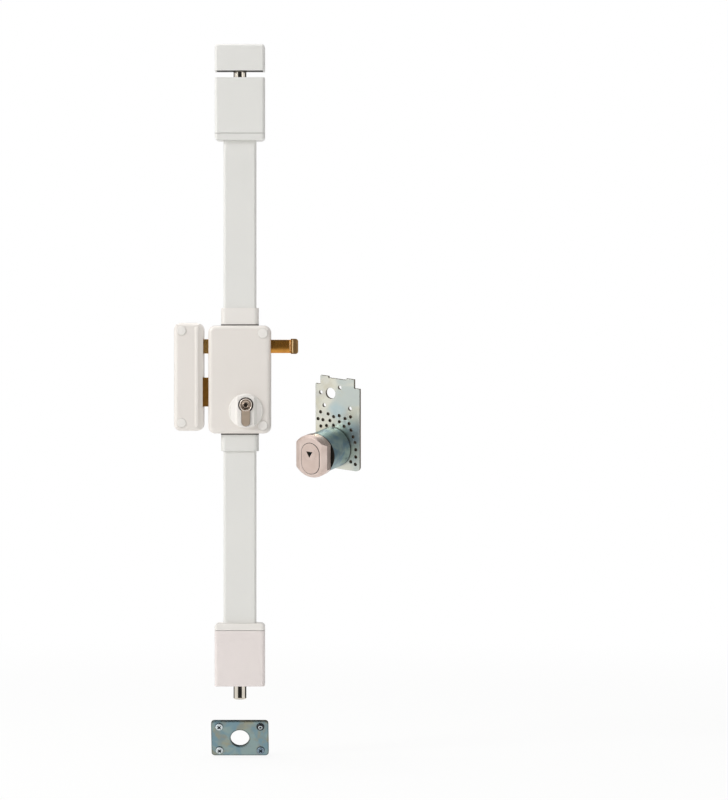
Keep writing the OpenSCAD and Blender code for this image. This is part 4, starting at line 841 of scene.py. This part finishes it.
@dataclass
class Keeps(Assembly):
    """The side keep and the top keep.

    A low roll runs down the side keep's front, where its bow towards the lock begins. Its taper
    holds distances from its ends and shares of its size there. The lowest shade_mm of the top
    keep's plate lies in shade.
    """

    roll_in_mm: float = 7.4
    roll_half_mm: float = 2.5
    roll_high_mm: float = 1.15
    roll_ends_mm: float = 4.5
    roll_sides: int = 24
    taper: tuple[Pair, ...] = ((0.0, 0.2), (0.4, 0.6), (1.2, 0.9), (2.4, 1.0))
    shade_mm: float = 2.5
    shade_fade_mm: Pair = (-0.5, 0.0)
    shade_tint: str = "#37322C"

    def build(self) -> None:
        """Dresses the keeps and the small parts that both rods share, and adds the roll."""
        self.roll()
        self.dress(CASE_ENAMEL, "keep_cover")
        self.dress(BAR_ENAMEL, "top_keep_cover")
        self.dress(WHITE_ABS, "keep_caps")
        self.dress(PLATE_ZINC, "keep_plate")
        down = Vector((0.0, 0.0, -1.0))
        rim = -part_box("top_keep_plate")[0].z / MM - self.shade_mm
        shade = Layer(down, rim, self.shade_fade_mm, self.shade_tint)
        self.dress(replace(PLATE_ZINC, name="zinc_shaded_steel", layers=(shade,)), "top_keep_plate")
        self.dress(SCREW_ZINC, "keep_screws", "bolt_guide_screws")
        self.dress(NATURAL_NYLON, "rod_guides", "rod_clips")

    def roll(self) -> None:
        """Draws the roll from end to end, tapered at both."""
        low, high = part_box("keep_cover")
        length = high.z - low.z - 2 * self.roll_ends_mm * MM
        stations = [(at * MM, size) for at, size in self.taper]
        stations += [(length - at, size) for at, size in reversed(stations)]
        foot = Vector((high.x - self.roll_in_mm * MM, low.y, low.z + self.roll_ends_mm * MM))
        axis = Matrix.Translation((-foot.x, -foot.y, 0.0))
        shape = bmesh.new()
        ring = bmesh.ops.create_circle(
            shape, cap_ends=True, segments=self.roll_sides, radius=MM,
            matrix=Matrix.Translation(foot)
            @ Matrix.Diagonal((self.roll_half_mm, self.roll_high_mm, 1.0, 1.0)))["verts"]
        bmesh.ops.scale(shape, verts=ring, vec=(stations[0][1],) * 2 + (1.0,), space=axis)
        face = ring[0].link_faces[0]
        for (at, size), (then, after) in zip(stations, stations[1:]):
            face = bmesh.ops.extrude_discrete_faces(shape, faces=[face])["faces"][0]
            bmesh.ops.translate(shape, verts=face.verts, vec=(0.0, 0.0, then - at))
            bmesh.ops.scale(shape, verts=face.verts, vec=(after / size,) * 2 + (1.0,), space=axis)
        self.add("keep_roll", shape, (CASE_ENAMEL,), "lock", "white_enamel")


class Head(Enum):
    """Finish of a floor screw's head, by the material index of its faces."""

    PALE = 0
    SHADE = 1
    BLACK = 2
    BLUE = 3


@dataclass
class FloorPlate(Assembly):
    """The plate that receives the lower round bolt, with its four screws.

    A screw's outline runs from its tip to its top, as radius and height above the plate, and
    the arms of its cross have a length and a half width. The rim below the dome is painted dark
    as shade. A head painted black as a dark reflection has a small cross in a ring painted pale
    as a highlight.
    """

    lean_deg: float = 24.0
    thickness_mm: float = 4.0
    spacing_mm: Pair = (47.6, 30.8)
    outline_mm: tuple[Pair, ...] = (
        (0.0, -4.0), (1.6, -4.0), (2.1, -3.5), (1.75, -3.1), (2.1, -2.7), (1.75, -2.3),
        (2.1, -1.9), (1.75, -1.5), (2.1, -1.1), (2.1, 0.0), (4.3, 0.0), (4.6, 0.25),
        (4.6, 0.75), (4.3, 1.15), (4.0, 1.6), (3.6, 1.9), (3.3, 2.05), (2.8, 2.2),
    )
    rim_mm: float = 4.3
    highlight_ring_mm: Pair = (2.35, 2.25)
    top_mm: float = 2.3
    arm_mm: Pair = (2.6, 0.75)
    small_arm_mm: Pair = (1.6, 0.7)
    cross_depth_mm: float = 1.7
    cross_taper: float = 0.6
    steps: int = 24

    def build(self) -> None:
        """Dresses the floor plate and puts a real screw in each hole."""
        self.dress(FLOOR_ZINC, "floor_plate")
        low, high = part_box("floor_plate")
        tilt = Matrix.Rotation(math.radians(self.lean_deg), 4, "X")
        out = tilt @ Vector((0.0, -1.0, 0.0))
        middle = (low + high) / 2 + out * self.thickness_mm * MM / 2
        wide, tall = (size / 2 * MM for size in self.spacing_mm)
        shape = bmesh.new()
        for across, up, head in ((-wide, tall, Head.PALE), (-wide, -tall, Head.PALE),
                                 (wide, tall, Head.BLACK), (wide, -tall, Head.BLUE)):
            spot = middle + tilt @ Vector((across, 0.0, up))
            pose = Matrix.Translation(spot) @ tilt @ Matrix.Rotation(math.pi / 2, 4, "X")
            self.screw(shape, pose @ Matrix.Rotation(math.pi / 4, 4, "Z"), head)
        piece = self.add("floor_screw_set", shape,
                         (PALE_SCREW, CROSS_SHADE, DARK_REFLECTION_SCREW, BLUE_SCREW), "lock",
                         "screw_steel")
        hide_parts("floor_screws")

    def screw(self, shape: Shape, pose: Matrix, head: Head) -> None:
        """Turns one screw and adds it.

        Args:
            shape: the bmesh that gets the screw.
            pose: where the screw goes, from standing upright at the origin.
            head: the finish of its head.
        """
        turned = bmesh.new()
        outline = self.outline_mm + ((self.highlight_ring_mm,) if head is Head.BLACK else ())
        line = [turned.verts.new((r * MM, 0.0, h * MM)) for r, h in outline]
        edges = [turned.edges.new(pair) for pair in zip(line, line[1:])]
        bmesh.ops.spin(turned, geom=line + edges, cent=(0, 0, 0), axis=(0, 0, 1),
                       angle=math.tau, steps=self.steps, use_merge=True)
        bmesh.ops.remove_doubles(turned, verts=turned.verts, dist=NEAR)
        for face in turned.faces:
            out = face.calc_center_median().xy.length / MM
            # The rim below the dome takes the dark cross material: painted shade
            face.material_index = (Head.SHADE if out > self.rim_mm else head).value
        self.sink_cross(turned, head)
        bmesh.ops.transform(turned, matrix=pose, verts=turned.verts)
        made = bpy.data.meshes.new("screw")
        turned.to_mesh(made)
        turned.free()
        shape.from_mesh(made)
        bpy.data.meshes.remove(made)

    def sink_cross(self, turned: Shape, head: Head) -> None:
        """Closes the open top with a ring round a sunk cross that narrows downwards.

        Args:
            turned: the screw.
            head: the finish of its head.
        """
        rim = [edge for edge in turned.edges if edge.is_boundary]
        long, half = self.small_arm_mm if head is Head.BLACK else self.arm_mm
        slope = (long + half) / 2
        corner = ((long, 0.0), (long, half), (slope, half), (half, half), (half, slope),
                  (half, long))
        cross = [turned.verts.new(Matrix.Rotation(quarter * math.pi / 2, 3, "Z")
                                  @ Vector((x, y, self.top_mm)) * MM)
                 for quarter in range(4) for x, y in corner]
        mouth = turned.faces.new(cross)
        ring = bmesh.ops.bridge_loops(turned, edges=rim + list(mouth.edges))["faces"]
        # On the black head the ring round the cross is pale: a painted highlight
        for face in ring:
            face.material_index = (Head.PALE if head is Head.BLACK else head).value
        floor = bmesh.ops.extrude_discrete_faces(turned, faces=[mouth])["faces"][0]
        bmesh.ops.scale(turned, verts=floor.verts, vec=(self.cross_taper, self.cross_taper, 1.0))
        bmesh.ops.translate(turned, verts=floor.verts, vec=(0, 0, -self.cross_depth_mm * MM))
        for face in {face for vertex in floor.verts for face in vertex.link_faces}:
            face.material_index = Head.SHADE.value
        bmesh.ops.triangulate(turned, faces=[floor])


@dataclass
class CylinderGuard(Assembly):
    """The cylinder guard: drilled plate, barrel, head with its inset, and the turning disc.

    The plate's stains are placed by shares of its width and height. The guard is turned and
    nodded about its foot, where the barrel's axis starts. Bores fill with shade below each
    face. Bands of painted shade lie at the barrel's ends and on the head's neck, neck_mm below
    its face.
    """

    stains: tuple[tuple[float, float, float, str, float], ...] = (
        (0.46, 0.63, 13.0, "#B4C9CE", 0.7),
        (0.86, 0.40, 15.0, "#BCCCD6", 0.6),
        (0.55, 0.36, 16.0, "#98B5B0", 0.7),
    )
    foot_mm: Triple = (109.4, -20.0, -77.0)
    turn_deg: float = 30.0
    nod_deg: float = 14.0
    plate_mm: float = 3.0
    back_fade_mm: Pair = (0.3, 0.1)
    shade: str = "#857A6D"
    shade_fade_mm: Pair = (-0.3, -0.6)
    band_shade: str = "#34302B"
    band_mm: Pair = (1.6, 0.9)
    neck_mm: float = 10.4
    neck_fade_mm: Pair = (0.0, -0.3)
    neck: str = "#2E2823"
    face_tint: str = "#D6C3B9"
    inset_mm: Pair = (24.4, 37.2)
    inset_drop_mm: float = 2.2
    shade_ring_r_mm: float = 0.45
    shade_ring_sides: int = 8
    shade_ring_steps: int = 24

    def build(self) -> None:
        """Dresses the guard's pieces, with shade in every bore, and lays the ring of painted shade
        in the head's joint.
        """
        pose = (Matrix.Rotation(math.radians(self.nod_deg), 3, "X")
                @ Matrix.Rotation(math.radians(-self.turn_deg), 3, "Z"))
        out = pose @ Vector((0.0, -1.0, 0.0))
        plate, barrel, head = (
            self.reach("guard_" + name, out) for name in ("plate", "barrel", "head"))
        low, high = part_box("guard_plate")
        pools = tuple(
            Pool(low.x + across * (high.x - low.x), low.z + up * (high.z - low.z), *rest)
            for across, up, *rest in self.stains)
        layers = (
            Layer(out, plate, self.shade_fade_mm, self.shade),
            Layer(out, plate - self.plate_mm, self.back_fade_mm, GUARD_ZINC.color,
                  GUARD_ZINC.roughness))
        self.dress(replace(GUARD_ZINC, pools=pools, layers=layers), "guard_plate")
        # Painted shade at both ends of the barrel
        start, full = self.band_mm
        shade_bands = (Layer(out, plate, (start, full), self.band_shade),
                 Layer(out, barrel, (-start, -full), self.band_shade))
        self.dress(replace(BARREL_ZINC, layers=shade_bands), "guard_barrel")
        # Painted shade on the head's neck
        neck = Layer(out, head - self.neck_mm, self.neck_fade_mm, self.neck)
        self.dress(replace(ROSE_NICKEL, layers=(neck,)), "guard_head")
        for name in ("inset", "disc"):
            level = self.reach("guard_" + name, out)
            bore = Layer(out, level, self.shade_fade_mm, self.shade)
            self.dress(replace(ROSE_NICKEL, name="nickel_rose_" + name, color=self.face_tint,
                               layers=(bore,)), "guard_" + name)
        self.shade_ring(pose, head)

    def shade_ring(self, pose: Matrix, head_mm: float) -> None:
        """Lays a thin dark ring, painted shade, in the joint between head and inset.

        Args:
            pose: the guard's turn.
            head_mm: how far the head's face lies along the guard's axis.
        """
        foot = Vector(self.foot_mm)
        deep = head_mm - (pose @ Vector((0.0, -1.0, 0.0))).dot(foot) - self.shade_ring_r_mm / 2
        half = self.inset_mm[0] / 2 - self.shade_ring_r_mm
        rise = (self.inset_mm[1] - self.inset_mm[0]) / 2
        shape = bmesh.new()
        wire = bmesh.ops.create_circle(
            shape, segments=self.shade_ring_sides, radius=self.shade_ring_r_mm,
            matrix=Matrix.Translation((half, -deep, rise - self.inset_drop_mm)))["verts"]
        loop = list({edge for vertex in wire for edge in vertex.link_edges}) + list(wire)
        for up in (rise, -rise):
            bend = bmesh.ops.spin(shape, geom=loop, cent=(0.0, -deep, up - self.inset_drop_mm),
                                  axis=(0.0, -1.0, 0.0), angle=math.pi, steps=self.shade_ring_steps)
            moved = bmesh.ops.extrude_edge_only(
                shape, edges=[e for e in bend["geom_last"] if isinstance(e, bmesh.types.BMEdge)])
            ends = [v for v in moved["geom"] if isinstance(v, bmesh.types.BMVert)]
            bmesh.ops.translate(shape, verts=ends, vec=(0.0, 0.0, -2 * up))
            loop = ends + [e for e in moved["geom"] if isinstance(e, bmesh.types.BMEdge)
                           and all(v in ends for v in e.verts)]
        bmesh.ops.remove_doubles(shape, verts=shape.verts, dist=NEAR / MM)
        bmesh.ops.transform(shape, verts=shape.verts,
                            matrix=Matrix.Scale(MM, 4) @ Matrix.Translation(foot)
                            @ pose.to_4x4())
        # A dark ring in the head's joint: painted shade
        self.add("guard_joint_shade", shape, (JOINT_SHADE_BLACK,), "lock", "dark_steel")


@dataclass(frozen=True)
class SoftBox:
    """A large soft white lamp, aimed at the middle of the lock."""

    name: str
    place: Triple
    size: float
    power: float

    def build(self) -> None:
        """Makes the lamp."""
        data = bpy.data.lights.new(self.name, "AREA")
        data.shape = "SQUARE"
        data.size = self.size
        data.energy = self.power
        lamp = bpy.data.objects.new(self.name, data)
        bpy.context.scene.collection.objects.link(lamp)
        lamp.location = self.place
        lamp.rotation_euler = lamp.location.to_track_quat("Z", "Y").to_euler()


@dataclass
class Studio:
    """Camera, lamps, background and floor of the product photograph.

    A pixel is mm_per_px at the depth sharp_depth, distance metres from the camera. The dome's
    two levels are away from and towards its brighter side. Glossy surfaces see a dark room: it
    has white walls between angles to the camera's right, a white table below the given heights
    of a ray and the background behind the given depths. The floor fades to white over glow_m.
    """

    image_px: tuple[int, int] = (728, 800)
    mm_per_px: float = 1.15
    lock_axis_px: float = 239.3
    case_centre_px: float = 379.5
    sharp_depth: float = 0.035
    distance: float = 4.2
    sensor_mm: float = 36.0
    view_end: float = 50.0
    brighter_way: Triple = (-0.8, 0.0, 0.6)
    dome: Pair = (0.39, 0.63)
    room: float = 0.03
    walls_deg: tuple[Pair, ...] = ((-112.0, -36.0), (40.0, 100.0))
    wall_soft_deg: Pair = (5.0, 8.0)
    table: Pair = (-0.14, -0.36)
    behind: Pair = (0.9, 0.96)
    floor_span: float = 12.0
    floor_gap_mm: float = 0.5
    paper: str = "#F4F4F2"
    glow_m: Pair = (0.7, 2.2)
    glow: Pair = (0.85, 1.0)
    lamps: tuple[SoftBox, ...] = (
        SoftBox("lamp_key", (-2.3, -1.7, 1.3), 1.2, 40.0),
        SoftBox("lamp_fill", (2.2, -2.4, 0.2), 1.6, 5.0),
        SoftBox("lamp_top", (-0.4, 0.3, 2.7), 1.5, 30.0),
    )

    def build(self, low: Vector) -> None:
        """Makes the studio round the lock.

        Args:
            low: the lowest corner of the lock's box.
        """
        self.camera()
        self.background()
        self.floor(low.z)
        for lamp in self.lamps:
            lamp.build()

    def camera(self) -> None:
        """Makes the camera, level and square to the door, framed as the photograph is."""
        across = (self.image_px[0] / 2 - self.lock_axis_px) * self.mm_per_px * MM
        up = (self.case_centre_px - self.image_px[1] / 2) * self.mm_per_px * MM
        data = bpy.data.cameras.new("camera")
        data.sensor_width = self.sensor_mm
        data.lens = self.sensor_mm * self.distance / (self.image_px[1] * self.mm_per_px * MM)
        data.clip_end = self.view_end
        camera = bpy.data.objects.new("camera", data)
        bpy.context.scene.collection.objects.link(camera)
        camera.location = (across, -self.sharp_depth - self.distance, up)
        camera.rotation_euler = (math.pi / 2, 0.0, 0.0)
        bpy.context.scene.camera = camera

    def background(self) -> None:
        """Makes the world: white to the camera, a dome to matt surfaces, a room to glossy ones."""
        world = bpy.data.worlds.new("studio")
        bpy.context.scene.world = world
        tree = clear_tree(world)
        ray = add_node(tree, "LightPath")
        way = add_node(tree, "TexCoord").outputs["Generated"]
        lit = add_node(tree, "VectorMath", DOT, {0: way, 1: self.brighter_way})
        soft = add_node(tree, "MapRange", None, {
            "Value": lit, "From Min": -1.0, "From Max": 1.0, "To Min": self.dome[0],
            "To Max": self.dome[1]})
        light = add_node(tree, "Mix", FLOAT, {
            0: ray.outputs["Is Glossy Ray"], 2: soft, 3: self.reflections(tree, way)})
        seen = add_node(tree, "Mix", FLOAT, {0: ray.outputs["Is Camera Ray"], 2: light, 3: 1.0})
        shade = add_node(tree, "Background", None, {"Color": linear("#FFFFFF"), "Strength": seen})
        add_node(tree, "OutputWorld", None, {"Surface": shade})

    def reflections(self, tree: Tree, way: Source) -> Node:
        """Draws the dark room with its white walls, table and background.

        Args:
            tree: the world's node tree.
            way: the direction of a ray.

        Returns:
            The room's brightness in that direction.
        """
        axes = add_node(tree, "SeparateXYZ", None, {"Vector": way})
        fore = add_node(tree, "Math", TIMES, {0: axes.outputs["Y"], 1: -1.0})
        turn = add_node(tree, "Math", {"operation": "ARCTAN2"}, {0: axes.outputs["X"], 1: fore})
        spots = [add_node(tree, "MapRange", SMOOTH, {
            "Value": axes.outputs[axis], "From Min": dark, "From Max": white})
            for axis, (dark, white) in (("Z", self.table), ("Y", self.behind))]
        soft_start, soft_end = self.wall_soft_deg
        for start, end in self.walls_deg:
            rise, fall = (add_node(tree, "MapRange", SMOOTH, {
                "Value": turn, "From Min": math.radians(dark), "From Max": math.radians(white)})
                for dark, white in ((start - soft_start, start + soft_start),
                                    (end + soft_end, end - soft_end)))
            spots.append(add_node(tree, "Math", TIMES, {0: rise, 1: fall}))
        bright = spots[0]
        for spot in spots[1:]:
            bright = add_node(tree, "Math", {"operation": "MAXIMUM"}, {0: bright, 1: spot})
        return add_node(tree, "MapRange", None, {"Value": bright, "To Min": self.room})

    def floor(self, height: float) -> None:
        """Makes the pale floor just under the lock.

        Args:
            height: the lowest point of the lock.
        """
        mesh = bpy.data.meshes.new("floor")
        shape = bmesh.new()
        bmesh.ops.create_grid(shape, x_segments=2, y_segments=2, size=self.floor_span / 2)
        bmesh.ops.translate(shape, verts=shape.verts,
                            vec=(0.0, 0.0, height - self.floor_gap_mm * MM))
        shape.to_mesh(mesh)
        shape.free()
        floor = bpy.data.objects.new("floor", mesh)
        floor.visible_glossy = False
        bpy.context.scene.collection.objects.link(floor)
        floor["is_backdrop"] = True
        floor.data.materials.append(self.backdrop())

    def backdrop(self) -> bpy.types.Material:
        """Builds the floor's paper: matt and pale, and glowing white to the camera further out.

        Returns:
            The Blender material.
        """
        made = bpy.data.materials.new("backdrop_paper")
        tree = clear_tree(made)
        ray = add_node(tree, "LightPath")
        paper = add_node(tree, "BsdfDiffuse", None, {"Color": linear(self.paper)})
        glow = add_node(tree, "Emission", None, {"Color": linear("#FFFFFF"), "Strength": 1.0})
        place = add_node(tree, "TexCoord").outputs["Object"]
        away = add_node(tree, "VectorMath", {"operation": "LENGTH"}, {0: place})
        fade = add_node(tree, "MapRange", SMOOTH, {
            "Value": away, "From Min": self.glow_m[0], "From Max": self.glow_m[1],
            "To Min": self.glow[0], "To Max": self.glow[1]})
        share = add_node(tree, "Math", TIMES, {0: ray.outputs["Is Camera Ray"], 1: fade})
        mixed = add_node(tree, "MixShader", None, {0: share, 1: paper, 2: glow})
        add_node(tree, "OutputMaterial", None, {"Surface": mixed})
        return made


def main() -> None:
    """Dresses the lock and sets it in the studio."""
    logging.basicConfig(level=logging.INFO, format="%(name)s %(message)s")
    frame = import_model()
    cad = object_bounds()
    bpy.context.scene.view_settings.view_transform = "Standard"
    parts = (LockCase(frame), KeyCylinder(frame), GearDrive(frame), BoltWork(frame),
             RodRun(frame, "upper", BAR_ENAMEL, COOL_ABS, WHITE_ABS),
             RodRun(frame, "lower", FOOT_ENAMEL, WHITE_ABS, COOL_ABS),
             Keeps(frame), FloorPlate(frame), CylinderGuard(frame))
    for part in parts:
        part.build()
    Studio().build(cad[0])


if __name__ == "__main__":
    main()
